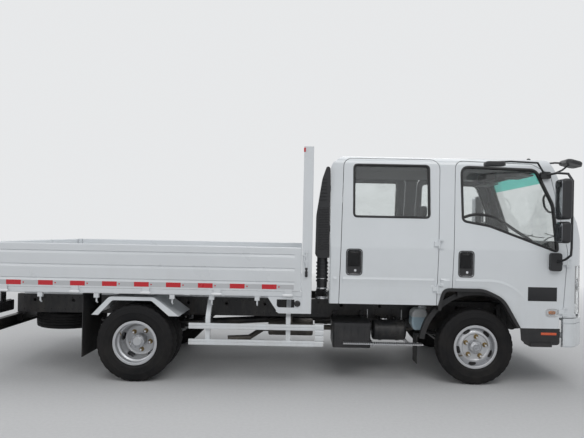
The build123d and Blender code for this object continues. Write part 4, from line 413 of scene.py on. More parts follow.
def bent_tube(work, points, radius, segments=10):
    """Tube along a smooth line through points."""
    points = [Vector(p) for p in points]
    fine = [points[0]]
    for a, b, c in zip(points, points[1:], points[2:]):
        reach = min((a - b).length, (c - b).length) * 0.45
        fine += bend(b + (a - b).normalized() * reach, b, b + (c - b).normalized() * reach, 8)
    fine.append(points[-1])
    normal = (fine[1] - fine[0]).orthogonal().normalized()
    rings = []
    for index, point in enumerate(fine):
        tangent = (fine[min(len(fine) - 1, index + 1)] - fine[max(0, index - 1)]).normalized()
        normal = (normal - tangent * normal.dot(tangent)).normalized()
        side = tangent.cross(normal)
        rings.append([work.verts.new(point + (normal * math.cos(a) + side * math.sin(a)) * radius)
                      for a in turns(segments)])
    bridge(work, rings)
    work.faces.new(rings[0])
    work.faces.new(list(reversed(rings[-1])))


def hexagon(work, centre, axis, flat, height, washer=0.0):
    """Hex nut with a chamfered top and a round washer under it."""
    if washer:
        revolve(work, centre, axis, [(0, 0), (0, washer), (0.0035, washer * 0.96), (0.004, 0)], 24)
    radius = flat / math.sqrt(3)
    revolve(work, centre, axis, [(0.003, 0), (0.003, radius), (height * 0.85, radius), (height, radius * 0.84),
                                 (height, 0)], 6)


def squarish(value, power):
    """A sine or cosine raised to a power under 1, which squares an oval off."""
    return math.copysign(abs(value) ** power, value)


def hit(node_names, origin, direction):
    """First point and normal where a ray meets the named CAD nodes."""
    best = None
    origin, direction = Vector(origin), Vector(direction).normalized()
    for name in node_names:
        found, place, normal, index = nodes[name].ray_cast(origin, direction)
        if found and (best is None or (place - origin).length < (best[0] - origin).length):
            best = (place, normal)
    return best


def rim(name, rows, side, door, section, material, steps=7, gap=0.035):
    """Rim swept round rows (x, z, radius) on a door's flank; returns the flank's |y| at its first point."""
    placed, normals = [], []
    for point in loop_points(rows, steps, gap):
        found = hit([door], (point[0], side * 3.0, point[1]), (0, -side, 0))
        placed.append(found[0])
        normals.append(Vector((0, found[1][1], found[1][2])).normalized())
    order = 1 if side < 0 else -1
    add_piece(name, material, door, (sweep, placed[::order], normals[::order], section))
    return abs(placed[0].y)


def swell(work, lift):
    """Moves each vertex along its normal."""
    work.normal_update()
    moves = {vertex: vertex.normal.copy() for vertex in work.verts}
    for vertex, normal in moves.items():
        vertex.co += normal * lift


# Tyres: sidewall rings, shoulder lugs and a ribbed tread, in place of the plain solids
axle_z = 0.377
front_axle_x, rear_axle_x = 1.904, -1.456
tyre_radius = 0.377
# (outward from the tyre's middle, radius) of the inner half, from the bead to the tread
tyre_line = [
    (-0.076, 0.206), (-0.0775, 0.219), (-0.08, 0.2235), (-0.0885, 0.231), (-0.0935, 0.243), (-0.0925, 0.245),
    (-0.0945, 0.247), (-0.0962, 0.262), (-0.0972, 0.279), (-0.0968, 0.295), (-0.0978, 0.2975), (-0.0978, 0.3005),
    (-0.0964, 0.303), (-0.0945, 0.318), (-0.0915, 0.333), (-0.0905, 0.3345), (-0.0905, 0.338), (-0.0875, 0.35),
    (-0.083, 0.3625), (-0.079, 0.369), (-0.074, 0.3732),
]
bead_line = [(0.08, 0.204), (-0.08, 0.204)]
tread_ribs = [(-0.074, -0.048), (-0.041, -0.0165), (-0.0095, 0.0095), (0.0165, 0.041), (0.048, 0.074)]
groove_depth, groove_taper = 0.0085, 0.0012
rib_wave, lug_depth, block_depth, sipe_depth = 0.0021, 0.0042, 0.006, 0.0035
plain, shoulder, rib = range(3)


def tread_row(x):
    """Radius of the crowned tread at a distance from its middle."""
    return tyre_radius - 0.0038 * (abs(x) / 0.074) ** 2.2


def tyre_rows():
    """(outward, radius, kind) across the tyre."""
    wall = [(x, r, shoulder if r > 0.345 else plain) for x, r in tyre_line]
    rows = list(wall)
    for index, (low, high) in enumerate(tread_ribs):
        for x in (low, low + 0.002, (low + high) / 2, high - 0.002, high):
            if abs(x) < 0.0735:
                rows.append((x, tread_row(x), rib))
        if index + 1 < len(tread_ribs):
            floor_radius = tread_row(high) - groove_depth
            rows.append((high + groove_taper, floor_radius, plain))
            rows.append((tread_ribs[index + 1][0] - groove_taper, floor_radius, plain))
    return rows + [(-x, r, kind) for x, r, kind in reversed(wall)]


def add_tyre(work, centre, axis, segments=192):
    """One tyre; the axis points outward."""
    axis = Vector(axis)
    first = Vector((1, 0, 0)) if abs(axis.x) < 0.5 else Vector((0, 0, 1))
    second = axis.cross(first)
    rings = []
    for out, radius, kind in tyre_rows() + [(out, radius, plain) for out, radius in bead_line]:
        ring = []
        for k, a in enumerate(turns(segments)):
            size, shift = radius, 0.0
            wave = rib_wave * math.sin(k * math.pi / 4)
            if kind == shoulder and k % 6 in (0, 1):
                size -= lug_depth
            if kind == rib:
                shift = wave if abs(out) < 0.06 else 0.0
                if abs(out) > 0.05 and k % 6 in (0, 1):
                    size -= block_depth
                elif abs(out) < 0.045 and k % 8 == 0:
                    size -= sipe_depth
            if kind == plain and radius > 0.35:
                shift = wave
            direction = first * math.cos(a) + second * math.sin(a)
            ring.append(work.verts.new(Vector(centre) + axis * (out + shift) + direction * size))
        rings.append(ring)
    bridge(work, rings + rings[:1])


tyre_places = {
    "front_tyre_%s": ("front_wheel_%s", [(front_axle_x, 0.83)]),
    "rear_tyres_%s": ("rear_wheels_%s", [(rear_axle_x, 0.698), (rear_axle_x, 0.942)]),
}
for side_name, side in sides:
    for name, (body, places) in tyre_places.items():
        piece = add_piece("tread_" + name % side_name, tyre_rubber, body % side_name,
                          *[(add_tyre, (x, side * y, axle_z), (0, side, 0)) for x, y in places], angle=28)
        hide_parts(name % side_name)
low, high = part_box("spare_tyre")
piece = add_piece("tread_spare_tyre", tyre_rubber, "chassis",
                  (add_tyre, ((low[0] + high[0]) / 2, 0, (low[2] + high[2]) / 2), (0, 0, 1), 144), angle=28)
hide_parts("spare_tyre")


def wheel_spot(x, y, radius, degrees):
    """Point at a radius and an angle round an axle."""
    a = math.radians(degrees)
    return Vector((x + radius * math.cos(a), y, axle_z + radius * math.sin(a)))


# Wheels: nuts with their studs, zinc yellow, hubs with their flange bolts, and tyre valves.
# Name, axle x, angle of the first nut, hub rows (outward, radius) from their y and steps round, flange bolts
# (circle, y, number) and the valve's angle and y
nut_circle, nuts_in_wheel = 0.1, 5
stud_rows = [(0, 0.0115), (0.015, 0.0115), (0.0175, 0.0095), (0.0165, 0.0)]
wheel_rows = [
    ("front_wheel_", front_axle_x, 84, 0.9335, 40,
     [(0, 0.0335), (0.0022, 0.032), (0.0022, 0.027), (0.0008, 0.0255), (0.0008, 0.013), (0.003, 0.011),
      (0.0036, 0.0)], (0.066, 0.879, 6), (212, 0.88)),
    ("rear_wheels_", rear_axle_x, 60, 0.928, 48,
     [(0, 0.05), (0, 0.07), (0.012, 0.07), (0.0145, 0.0675), (0.0145, 0.05)], (0.06, 0.9424, 8),
     (152, 0.965)),
]
out = (0, 1, 0)
for side_name, side in sides:
    for name, x, first, hub_y, hub_steps, hub_rows, (bolt_circle, bolt_y, bolts), (valve_angle, valve_y) in wheel_rows:
        wheel = name + side_name
        nuts, studs = [], []
        for k in range(nuts_in_wheel):
            angle = first + 360 / nuts_in_wheel * k
            found = hit([wheel], wheel_spot(x, side * 1.4, nut_circle + 0.024, angle), (0, -side, 0))
            seat = wheel_spot(x, abs(found[0].y), nut_circle, angle)
            nuts.append((hexagon, seat, out, 0.036, 0.0235, 0.024))
            studs.append((revolve, seat + Vector((0, 0.02, 0)), out, stud_rows, 18))
        add_piece("nuts_" + wheel, zinc, wheel, *nuts, side=side)
        add_piece("studs_" + wheel, bright_metal, wheel, *studs, side=side)
        bolt_spots = [wheel_spot(x, bolt_y, bolt_circle, 360 * (k + 0.5) / bolts) for k in range(bolts)]
        add_piece("hub_" + wheel, hub_metal, wheel, (revolve, (x, hub_y, axle_z), out, hub_rows, hub_steps),
                  *[(hexagon, spot, out, 0.0125, 0.0085) for spot in bolt_spots], side=side)
        base = wheel_spot(x, side * valve_y, 0.186, valve_angle)
        tip = wheel_spot(x, side * (valve_y + 0.034), 0.164, valve_angle)
        add_piece("valve_" + wheel, zinc, wheel, (bent_tube, [base, base.lerp(tip, 0.5), tip], 0.0048, 8),
                  (bent_tube, [tip, tip + (tip - base).normalized() * 0.01], 0.0056, 8))

# The front discs' five oval slots, as dark dished patches of painted shade on the sloping part of each disc
slot_radius, slot_half_length, slot_half_height = 0.1705, 0.0385, 0.0205
disc_y, disc_slope, slope_start = 0.8967, 0.594, 0.14


def disc_slot_shade(work, degrees):
    """One slot's dark patch of painted shade, its middle at an angle round the wheel."""
    rings = []
    for scale in (1.0, 0.94, 0.6, 0.25):
        ring = []
        for a in turns(32):
            radius = slot_radius + slot_half_height * scale * squarish(math.sin(a), 0.85)
            turn = math.radians(degrees) + slot_half_length / slot_radius * scale * squarish(math.cos(a), 0.85)
            y = disc_y - (radius - slope_start) * disc_slope
            ring.append(work.verts.new(wheel_spot(front_axle_x, y, radius, math.degrees(turn))))
        rings.append(ring)
    capped(work, rings)


# Dark seal rubber on each patch paints the shade seen through the slots
both("disc_slots_", seal_rubber, "front_wheel_", *[(disc_slot_shade, 47 + 72 * index) for index in range(5)])


# Cab: rows (x, z, radius) of the side windows, (y, z, radius) of the windshield and the back window
cab_belt = 1.35
rear_window_rows = oblong(0.659, 1.417, 1.65, 2.182, 0.045)
front_window_rows = [
    (1.74, 1.63, 0.05), (1.735, 2.176, 0.08), (2.48, 2.156, 0.1), (2.64, 1.8, 0.25), (2.668, 1.34, 0.03),
    (2.0, 1.585, 0.4),
]
windshield_rows = [(-0.8, 1.425, 0.08), (-0.745, 2.19, 0.08), (0.745, 2.19, 0.08), (0.8, 1.425, 0.08)]
back_window_rows = oblong(-0.56, 0.56, 1.64, 2.06, 0.06)
# Sections of the seals and the handles' bezels, as sweep() takes them
thick_seal = [(0.019, -0.03), (0.02, -0.002), (0.016, 0.003), (0.008, 0.0065), (0.001, 0.0055), (-0.003, 0.002),
              (-0.003, -0.003), (0.004, -0.03)]
broad_seal = [(0.015, -0.03), (0.015, 0.0), (0.011, 0.004), (0.002, 0.0055), (-0.006, 0.0045), (-0.01, 0.001),
              (-0.01, -0.002), (0.002, -0.03)]
bezel = [(0.0005, -0.012), (0.0005, 0.001), (-0.002, 0.0035), (-0.006, 0.004), (-0.009, 0.002), (-0.01, -0.012)]
rim_overlap = 0.002
# The front windows' lower trim line (x, z), seen through the glass
trim_line = [(1.75, 1.664), (1.82, 1.69), (1.9, 1.702), (2.032, 1.684), (2.149, 1.628), (2.267, 1.548),
             (2.434, 1.446)]
for side_name, side in sides:
    add_piece("door_trim_line_" + side_name, seal_rubber, "door_front_" + side_name,
              (bent_tube, [(x, side * 0.925, z) for x, z in trim_line], 0.015, 12))
    for name, rows, section in (("rear", rear_window_rows, thick_seal), ("front", front_window_rows, broad_seal)):
        body = "door_%s_%s" % (name, side_name)
        rim("seal_" + body, grown_rows(rows, rim_overlap), side, body, section, seal_rubber)

# Handles: a bezel, a dished bowl, a grip and a lock each
handle_places = {"rear": (0.601, 0.742), "front": (1.703, 1.839)}
handle_z0, handle_z1 = 1.087, 1.327
lock_rows = [(0, 0.013), (0.005, 0.013), (0.0065, 0.0115), (0.0065, 0.009), (0.005, 0.0085), (0.005, 0)]


def handle_bowl(work, x0, x1, surface):
    """Bowl behind the grip, dished in its middle."""
    def place(u, v):
        dish = math.sin(math.pi * u) ** 0.6 * math.sin(math.pi * v) ** 0.4
        return x0 + u * (x1 - x0), surface - 0.004 - 0.0125 * dish, handle_z0 + v * (handle_z1 - handle_z0)
    grid(work, 14, 22, place)


def handle_grip(work, x0, x1, surface):
    """Crowned flap hinged at its top, with a lip along its lower edge."""
    z0, z1 = handle_z0 + 0.078, handle_z1 - 0.018

    def place(u, v):
        crown = 0.0065 * (1 - (2 * u - 1) ** 4) * (1 - (2 * v - 1) ** 6)
        lip = 0.004 * max(0.0, 1 - v * 7)
        return x0 + u * (x1 - x0), surface - 0.006 + crown + lip, z0 + v * (z1 - z0)
    grid(work, 16, 20, place)
    bmesh.ops.solidify(work, geom=work.faces[:], thickness=-0.004)


for side_name, side in sides:
    for name, (x0, x1) in handle_places.items():
        body = "door_%s_%s" % (name, side_name)
        rows = grown_rows(oblong(x0, x1, handle_z0, handle_z1, 0.03), rim_overlap)
        surface = rim("handle_bezel_" + body, rows, side, body, bezel, plastic, 8, 0.02)
        lock_x, lock_z = (x0 + x1) / 2 + 0.012, handle_z0 + 0.038
        for label, material, shapes in (
                ("bowl", gloss_black, [(handle_bowl, x0, x1, surface)]),
                ("grip", gloss_black, [(handle_grip, x0 + 0.016, x1 - 0.016, surface)]),
                ("lock", bright_metal, [(revolve, (lock_x, surface - 0.012, lock_z), out, lock_rows, 28),
                                        (add_box, (lock_x - 0.001, surface - 0.008, lock_z - 0.005),
                                         (lock_x + 0.001, surface - 0.0065, lock_z + 0.005))])):
            add_piece("handle_%s_%s" % (label, body), material, body, *shapes, side=side)

# The crease over the sills and the wheel arches, sharpened on each door and on the cab behind them
crease_start, crease_end, crease_z, crease_turn = 0.47, 2.0, 1.04, 0.45
crease_steps = [-0.07, -0.045, -0.025, -0.012, -0.004, 0.0, 0.005, 0.01, 0.015, 0.02, 0.026]
crease_lift, crease_rise, crease_edge, crease_fade = 0.0004, 0.0072, 0.0076, 0.021
crease_low_y, crease_high_y = 0.93, 1.03


def crease_line():
    """Stations (x, z, outward x, outward z, strength) along the crease, from the cab's rear forward and down."""
    stations = [(crease_start + 0.03 * k, crease_z, 0.0, 1.0, 1.0) for k in range(52)]
    for k in range(13):
        a = math.radians(90 - 4.6 * k)
        stations.append((crease_end + crease_turn * math.cos(a), crease_z - crease_turn + crease_turn * math.sin(a),
                         math.cos(a), math.sin(a), 1.0 if k < 5 else 1.0 - (k - 5) / 7.0))
    return stations


def crease_row(node, side, x, z, out_x, out_z, strength):
    """Points across the crease at one station, or None where the node doesn't reach."""
    spots = []
    for step in crease_steps:
        found = hit([node], (x + out_x * step, side * 3.0, z + out_z * step), (0, -side, 0))
        if found is None or not crease_low_y <= abs(found[0].y) <= crease_high_y:
            return None
        spots.append(found[0])
    low_y, high_y = abs(spots[1].y), abs(spots[-1].y)
    row = []
    for step, spot in zip(crease_steps, spots):
        skin = abs(spot.y) + crease_lift
        if step <= 0:
            y = skin + crease_rise * strength * max(0.0, 1 - step / crease_steps[0]) ** 2
        else:
            part = min(1.0, step / crease_fade)
            y = max(skin, (low_y + crease_edge * strength) * (1 - part) + (high_y + crease_lift) * part)
        row.append((spot.x, side * y, spot.z))
    return row


for side_name, side in sides:
    for node, body in (("door_rear_" + side_name, "door_rear_" + side_name),
                       ("door_front_" + side_name, "door_front_" + side_name), ("cab_shell", "chassis")):
        work = bmesh.new()
        last = None
        for station in crease_line():
            row = crease_row(node, side, *station)
            if row:
                row = [work.verts.new(place) for place in row]
                if last:
                    bridge(work, [last, row], closed=False)
            last = row
        from_bmesh("crease_%s_%s" % (side_name, node), work, paint, body, angle=20)

# Windshield and back window seals
for name, rows, x_from, facing in (("windshield", windshield_rows, 4.0, -1),
                                   ("back_window", back_window_rows, -2.0, 1)):
    spots = [hit(["cab_shell"], (x_from, *point), (facing, 0, 0))
             for point in loop_points(grown_rows(rows, 0.005), 8, 0.04)]
    placed, normals = zip(*spots[::-facing])
    add_piece("seal_" + name, seal_rubber, "chassis", (sweep, placed, normals, broad_seal))


def cut_off(work, height, keep):
    """Cuts at a height and keeps what lies above it (1) or below it (-1)."""
    bmesh.ops.bisect_plane(work, geom=work.verts[:] + work.edges[:] + work.faces[:], plane_co=(0, 0, height),
                           plane_no=(0, 0, keep), clear_inner=True)


# A thin tinted band on the windshield's inner face, copied from its own surface between two heights
cab_middle = Vector((1.6, 0, 1.6))
work = bmesh.new()
work.from_mesh(nodes["windshield"].data)
away = [f for f in work.faces if f.normal.dot(cab_middle - f.calc_center_median()) < 0.2 or f.normal.z > 0.9]
bmesh.ops.delete(work, geom=away, context="FACES")
cut_off(work, 2.055, 1)
cut_off(work, 2.2, -1)
for vertex in work.verts:
    vertex.co += (cab_middle - vertex.co).normalized() * 0.0012
from_bmesh("tint_band", work, teal_tint, "chassis")

# A blank dark plate on the right front door, and a side indicator on both front doors
plate_y = hit(["door_front_right"], (2.378, -3.0, 0.856), (0, 1, 0))[0].y
add_piece("blank_plate_door", sign_face, "door_front_right",
          (add_box, (2.38, plate_y - 0.0022, 0.858), (2.664, plate_y + 0.002, 0.994), 0.0012))
indicator_x, indicator_z, indicator_half_x, indicator_half_z = 2.617, 0.747, 0.061, 0.039
indicator_rows = oblong(indicator_x - indicator_half_x, indicator_x + indicator_half_x, indicator_z - indicator_half_z,
                        indicator_z + indicator_half_z, 0.034)
indicator_rim = [(0.006, -0.004), (0.006, 0.003), (0.002, 0.006), (-0.004, 0.004), (-0.004, -0.004)]


def indicator_dome(work, surface, inset, stand, depth):
    """Squared dome in the indicator's rim."""
    rings = []
    for step in range(7):
        rise = step / 6 * 1.45
        half_x = (indicator_half_x - inset) * math.cos(rise)
        half_z = (indicator_half_z - inset * 0.8) * math.cos(rise)
        y = surface + stand + depth * math.sin(rise)
        rings.append([work.verts.new((indicator_x + half_x * squarish(math.cos(a), 0.7), y,
                                      indicator_z + half_z * squarish(math.sin(a), 0.7)))
                      for a in turns(28)])
    capped(work, rings)


for side_name, side in sides:
    body = "door_front_" + side_name
    surface = rim("indicator_rim_" + side_name, indicator_rows, side, body, indicator_rim, clear_trim, 8, 0.02)
    for label, material, sizes in (("bulb", amber, (0.026, 0.002, 0.003)),
                                   ("lens", lamp_glass, (0.001, 0.0045, 0.006))):
        add_piece("indicator_%s_%s" % (label, side_name), material, body, (indicator_dome, surface, *sizes), side=side)

# Mirror glasses, on the rear faces of the mirror heads
mirror_y, mirror_half = 1.2, 0.069
for side_name, side in sides:
    for label, z0, z1 in (("main", 1.668, 2.022), ("wide", 1.447, 1.621)):
        y, middle = side * mirror_y, (z0 + z1) / 2
        x = hit(["mirror_" + side_name], (1.9, y, middle), (1, 0, 0))[0].x
        outline = loop_points(oblong(-mirror_half, mirror_half, z0, z1, 0.024), 6, 0.03)
        work = bmesh.new()
        rings = []
        for scale in (1.0, 0.97, 0.6, 0.25):
            face_x = x + 0.001 if scale == 1.0 else x - 0.0018 - 0.0022 * (1 - scale * scale)
            rings.append([work.verts.new((face_x, y + p.x * scale, middle + (p.y - middle) * scale)) for p in outline])
        capped(work, rings)
        from_bmesh("mirror_glass_%s_%s" % (label, side_name), work, mirror_glass, "door_front_" + side_name)

# Rear-view mirror, sun visors, grab handles and the small dome on the roof
work = bmesh.new()
add_box(work, (-0.014, -0.135, -0.04), (0.014, 0.135, 0.04), 0.012, 4)
work.transform(Matrix.Translation((2.31, 0, 2.175)) @ Matrix.Rotation(math.radians(25), 4, "Z"))
bent_tube(work, [(2.32, 0, 2.19), (2.38, 0, 2.235), (2.5, 0, 2.245)], 0.009, 10)
from_bmesh("inside_mirror", work, gloss_black, "chassis")
add_piece("sun_visors", headlining, "chassis",
          *[(add_box, (2.4, y - 0.19, 2.12), (2.56, y + 0.19, 2.138), 0.008, 3) for y in (-0.48, 0.48)])
grab_line = [(2.67, 0.86, 1.735), (2.65, 0.81, 1.742), (2.615, 0.8, 1.79), (2.6, 0.8, 1.88),
             (2.62, 0.81, 1.925), (2.64, 0.85, 1.93)]
for side_name, side in sides:
    add_piece("grab_handle_" + side_name, plastic, "chassis",
              (bent_tube, [(x, side * y, z) for x, y, z in grab_line], 0.011, 12))
roof, roof_normal = hit(["cab_shell"], (2.53, -0.6, 4.0), (0, 0, -1))
add_piece("roof_dome", plastic, "chassis",
          (revolve, roof - Vector((0, 0, 0.004)), roof_normal,
           [(0, 0.024), (0.01, 0.024), (0.022, 0.02), (0.031, 0.012), (0.034, 0.0)], 32))

# Orange reflectors low on the skirts behind the bumper's ends, ribbed upright
for side_name, side in sides:
    y = abs(hit(["wheel_arches", "front_bumper"], (2.56, side * 1.4, 0.538), (0, -side, 0))[0].y)
    add_piece("skirt_reflector_" + side_name, orange_lens, "chassis",
              (add_box, (2.515, y - 0.002, 0.526), (2.667, y + 0.0035, 0.55), 0.0022, 3),
              *[(add_box, (x, y + 0.003, 0.5285), (x + 0.0085, y + 0.0044, 0.5475), 0.001, 1)
                for x in [2.52 + k * 0.0098 for k in range(15)]], side=side)

# Reflective strips on the drop sides: red and pale grey in turn, with a small red dot after each red one
strip_z0, strip_z1 = 0.936, 0.982
strip_start, strip_pitch, red_length = -2.68, 0.3072, 0.142
red_thick, pale_thick = 0.0009, 0.0006
drop_side_y = 1.09
hinge_y, hinge_z, hinge_start, hinge_pitch = 1.102, 0.88, -2.744, 0.68075


def strip(x0, x1, thick):
    """Shape of one strip on the left drop side."""
    return add_box, (x0, drop_side_y - 0.0015, strip_z0), (x1, drop_side_y + thick, strip_z1), 0.0006, 1


dot_rows = [(0, 0.0075), (0.0014, 0.007), (0.002, 0.0)]
sleeve_rows = [(0, 0.0), (0, 0.01), (0.004, 0.0128), (0.01, 0.014), (0.082, 0.014), (0.088, 0.0128),
               (0.092, 0.01), (0.092, 0.0)]
red_starts = [strip_start + index * strip_pitch for index in range(9)]
pale_strips = [(x + red_length, x + strip_pitch) for x in red_starts[:-1]] + [(-2.82, strip_start), (-0.08, 0.085)]
both("red_strips_", red_tape, "drop_side_", *[strip(x, x + red_length, red_thick) for x in red_starts])
both("pale_strips_", pale_tape, "drop_side_", *[strip(x0, x1, pale_thick) for x0, x1 in pale_strips])
both("strip_dots_", red_tape, "drop_side_",
     *[(revolve, (x + 0.165, drop_side_y + 0.0002, (strip_z0 + strip_z1) / 2), out, dot_rows, 18) for x in red_starts])
# Sleeves over the hinge barrels, their paler paint a painted highlight
both("hinge_sleeves_", hinge_highlight_paint, "drop_side_",
     *[(revolve, (hinge_start + hinge_pitch * k, hinge_y, hinge_z), (1, 0, 0), sleeve_rows, 24) for k in range(5)])
tail_x, tail_pitch = -2.974, 0.2925
tail_starts = [-1.0 + index * tail_pitch for index in range(7)]
add_piece("red_strips_tailgate", red_tape, "tailgate",
          *[(add_box, (tail_x - 0.0022, y, strip_z0), (tail_x, y + red_length, strip_z1), 0.0006, 1)
            for y in tail_starts])
add_piece("pale_strips_tailgate", pale_tape, "tailgate",
          *[(add_box, (tail_x - 0.0017, y + red_length, strip_z0), (tail_x, y + tail_pitch, strip_z1), 0.0005, 1)
            for y in tail_starts[:-1]])

# Headboard posts: latch grips and catches, a marker at each top; a lamp and rivets on the gusset plates
latch_x, latch_y, gusset_y = 0.203, 1.104, 1.089
grip_rows = [(0, 0.0), (0, 0.0095), (0.004, 0.0125), (0.018, 0.0135), (0.03, 0.0122), (0.042, 0.0135), (0.054, 0.0122),
             (0.066, 0.0135), (0.082, 0.0125), (0.09, 0.0095), (0.09, 0.0)]
catch_line = [(-0.012, 0.004, 1.19), (-0.02, 0.008, 1.23), (-0.014, 0.005, 1.262)]
rivet_places = ((0.118, 0.725), (0.143, 0.745), (-0.075, 0.725), (0.143, 0.845), (0.05, 0.725), (0.1, 0.845))
both("latch_grip_", plastic, "chassis", (revolve, (latch_x, latch_y, 1.06), (0, 0, 1), grip_rows, 24))
both("post_marker_", red_tape, "chassis", (add_box, (0.158, 1.0885, 2.262), (0.176, 1.0965, 2.302), 0.003, 3))
both("gusset_lamp_", gloss_black, "chassis",
     (revolve, (0.122, gusset_y, 0.802), out,
      [(0, 0.03), (0.008, 0.03), (0.014, 0.026), (0.016, 0.021), (0.015, 0.019), (0.019, 0.0)], 36))
both("gusset_rivets_", bed_paint, "chassis",
     *[(revolve, (x, gusset_y + 0.0005, z), out, [(0, 0.0075), (0.003, 0.0068), (0.0046, 0.0)], 14)
       for x, z in rivet_places])
for side_name, side in sides:
    y = side * latch_y
    add_piece("latch_catch_" + side_name, bed_paint, "chassis",
              (add_box, (latch_x - 0.045, y - side * 0.006, 1.262), (latch_x + 0.01, y + side * 0.006, 1.276), 0.003),
              (bent_tube, [(latch_x + dx, y + side * dy, z) for dx, dy, z in catch_line], 0.006, 8))

# Rear lamps: coloured lenses of ribs side by side, from y0 to y1, in a black cluster; the blank rear plate
low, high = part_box("rear_lamps")
lens_x, lens_ribs = low[0], 12
for label, y0, y1, material in (("amber", 0.8932, 0.8116, amber), ("red", 0.8048, 0.6484, red_lens),
                                ("clear", 0.6416, 0.5668, lamp_glass)):
    edges = [y0 + (y1 - y0) * k / lens_ribs for k in range(lens_ribs + 1)]
    both("rear_lens_%s_" % label, material, "chassis",
         *[(add_box, (lens_x - 0.008, a, 0.625), (lens_x + 0.003, b, 0.717), 0.003) for a, b in zip(edges, edges[1:])])
add_piece("blank_plate_rear", plate_face, "chassis",
          (add_box, (-2.984, -0.26, 0.438), (-2.9862, 0.26, 0.55), 0.0012))

# Front: grille bars and trim, fog lamps and wipers
grille_low, grille_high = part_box("grille")
gx = grille_high[0]
bars = [grille_low[2] + (grille_high[2] - grille_low[2]) * (k + 0.5) / 5 for k in range(5)]
add_piece("grille_bars", gloss_black, "chassis",
          *[(add_box, (gx - 0.014, grille_low[1] + 0.02, z - 0.01), (gx - 0.0005, grille_high[1] - 0.02, z + 0.01),
             0.005, 3) for z in bars])
add_piece("grille_trim", bright_metal, "chassis",
          *[(add_box, (gx - 0.012, grille_low[1] + 0.006, z - 0.007), (gx - 0.0002, grille_high[1] - 0.006, z + 0.007),
             0.004, 3) for z in (grille_low[2] + 0.006, grille_high[2] - 0.006)])
fog_y, fog_z = 0.66, 0.523
fog_parts = [
    ("ring", plastic, [(0, 0.0495), (0.0225, 0.0495), (0.025, 0.047), (0.0235, 0.044), (0.005, 0.0425), (0, 0.0425)]),
    ("bowl", bright_metal, [(0.013, 0.0425), (0.009, 0.035), (0.004, 0.02), (0.002, 0.0)]),
    ("lens", lamp_glass, [(0.016, 0.043), (0.019, 0.034), (0.0215, 0.018), (0.0222, 0.0)]),
]
for side_name, side in sides:
    face_x = hit(["front_bumper"], (4.0, side * fog_y, fog_z), (-1, 0, 0))[0].x
    for label, material, rows in fog_parts:
        add_piece("fog_%s_%s" % (label, side_name), material, "chassis",
                  (revolve, (face_x - 0.001, side * fog_y, fog_z), (1, 0, 0), rows, 40))


def screen_point(y, z, lift):
    """Point over the windshield's face."""
    found = hit(["windshield", "cab_shell"], (4.0, y, z), (-1, 0, 0))
    return found[0] + found[1] * lift


for index, (foot_y, tip_y) in enumerate(((0.62, 0.1), (0.02, -0.52))):
    foot = screen_point(foot_y, 1.4, -0.004)
    arm = [screen_point(foot_y, 1.4, 0.016), screen_point((foot_y + tip_y) / 2, 1.475, 0.02),
           screen_point(tip_y, 1.505, 0.012)]
    blade = [screen_point(tip_y + 0.56 * (k / 12 - 0.5), 1.478 + 0.05 * (k / 12) ** 2, 0.0048) for k in range(13)]
    add_piece("wiper_%d" % (index + 1), plastic, "chassis",
              (revolve, foot, arm[0] - foot, [(0, 0.018), (0.014, 0.018), (0.02, 0.012), (0.021, 0)], 20),
              (bent_tube, arm, 0.0065, 8), (bent_tube, blade, 0.0046, 8))

# Headlamps: a bowl and a bulb behind each part (y, z, radius) of the lens
bulb_rows = [(0, 0.01), (0.016, 0.01), (0.02, 0.008), (0.038, 0.008), (0.044, 0.004), (0.045, 0)]
for side_name, side in sides:
    bowls, bulbs = [], []
    for y, z, r in ((0.755, 0.875, 0.078), (0.845, 1.02, 0.062)):
        face_x = hit(["headlamps"], (4.0, side * y, z), (-1, 0, 0))[0].x
        bowls.append((revolve, (face_x - 0.122, side * y, z), (1, 0, 0),
                      [(0.0, 0.012), (0.006, 0.03), (0.02, r * 0.62), (0.04, r * 0.86), (0.06, r),
                       (0.063, r * 1.04), (0.06, r * 1.06)], 44))
        bulbs.append((revolve, (face_x - 0.118, side * y, z), (1, 0, 0), bulb_rows, 20))
    add_piece("lamp_bowls_" + side_name, chrome, "chassis", *bowls)
    add_piece("lamp_bulbs_" + side_name, clear_trim, "chassis", *bulbs)


def lining(name, source, body):
    """A thin lining just inside a CAD node's inner faces."""
    work = bmesh.new()
    work.from_mesh(nodes[source].data)
    centre = Vector((1.65, 0, 1.55))
    outside = []
    for face in work.faces:
        place = face.calc_center_median()
        inside = abs(place.y) < 0.962 - 0.125 * max(0.0, (place.z - cab_belt) / 0.975)
        facing = face.normal.dot((centre - place).normalized()) > 0.25
        if not (inside and facing and 0.47 < place.x < 2.92 and 0.86 < place.z < 2.285):
            outside.append(face)
    bmesh.ops.delete(work, geom=outside, context="FACES")
    swell(work, 0.0016)
    link(name, to_mesh(name, work), cabin_lining, body)


def moulding(work, rows, levels, steps=7, gap=9.0):
    """Moulding along y: outlines of rows (x, z, radius), each grown by an amount and at a depth."""
    rings = [[work.verts.new((point.x, depth, point.y)) for point in loop_points(grown_rows(rows, grow), steps, gap)]
             for grow, depth in levels]
    capped(work, rings)
    work.faces.new(rings[0])


lining("cab_lining", "cab_shell", "chassis")
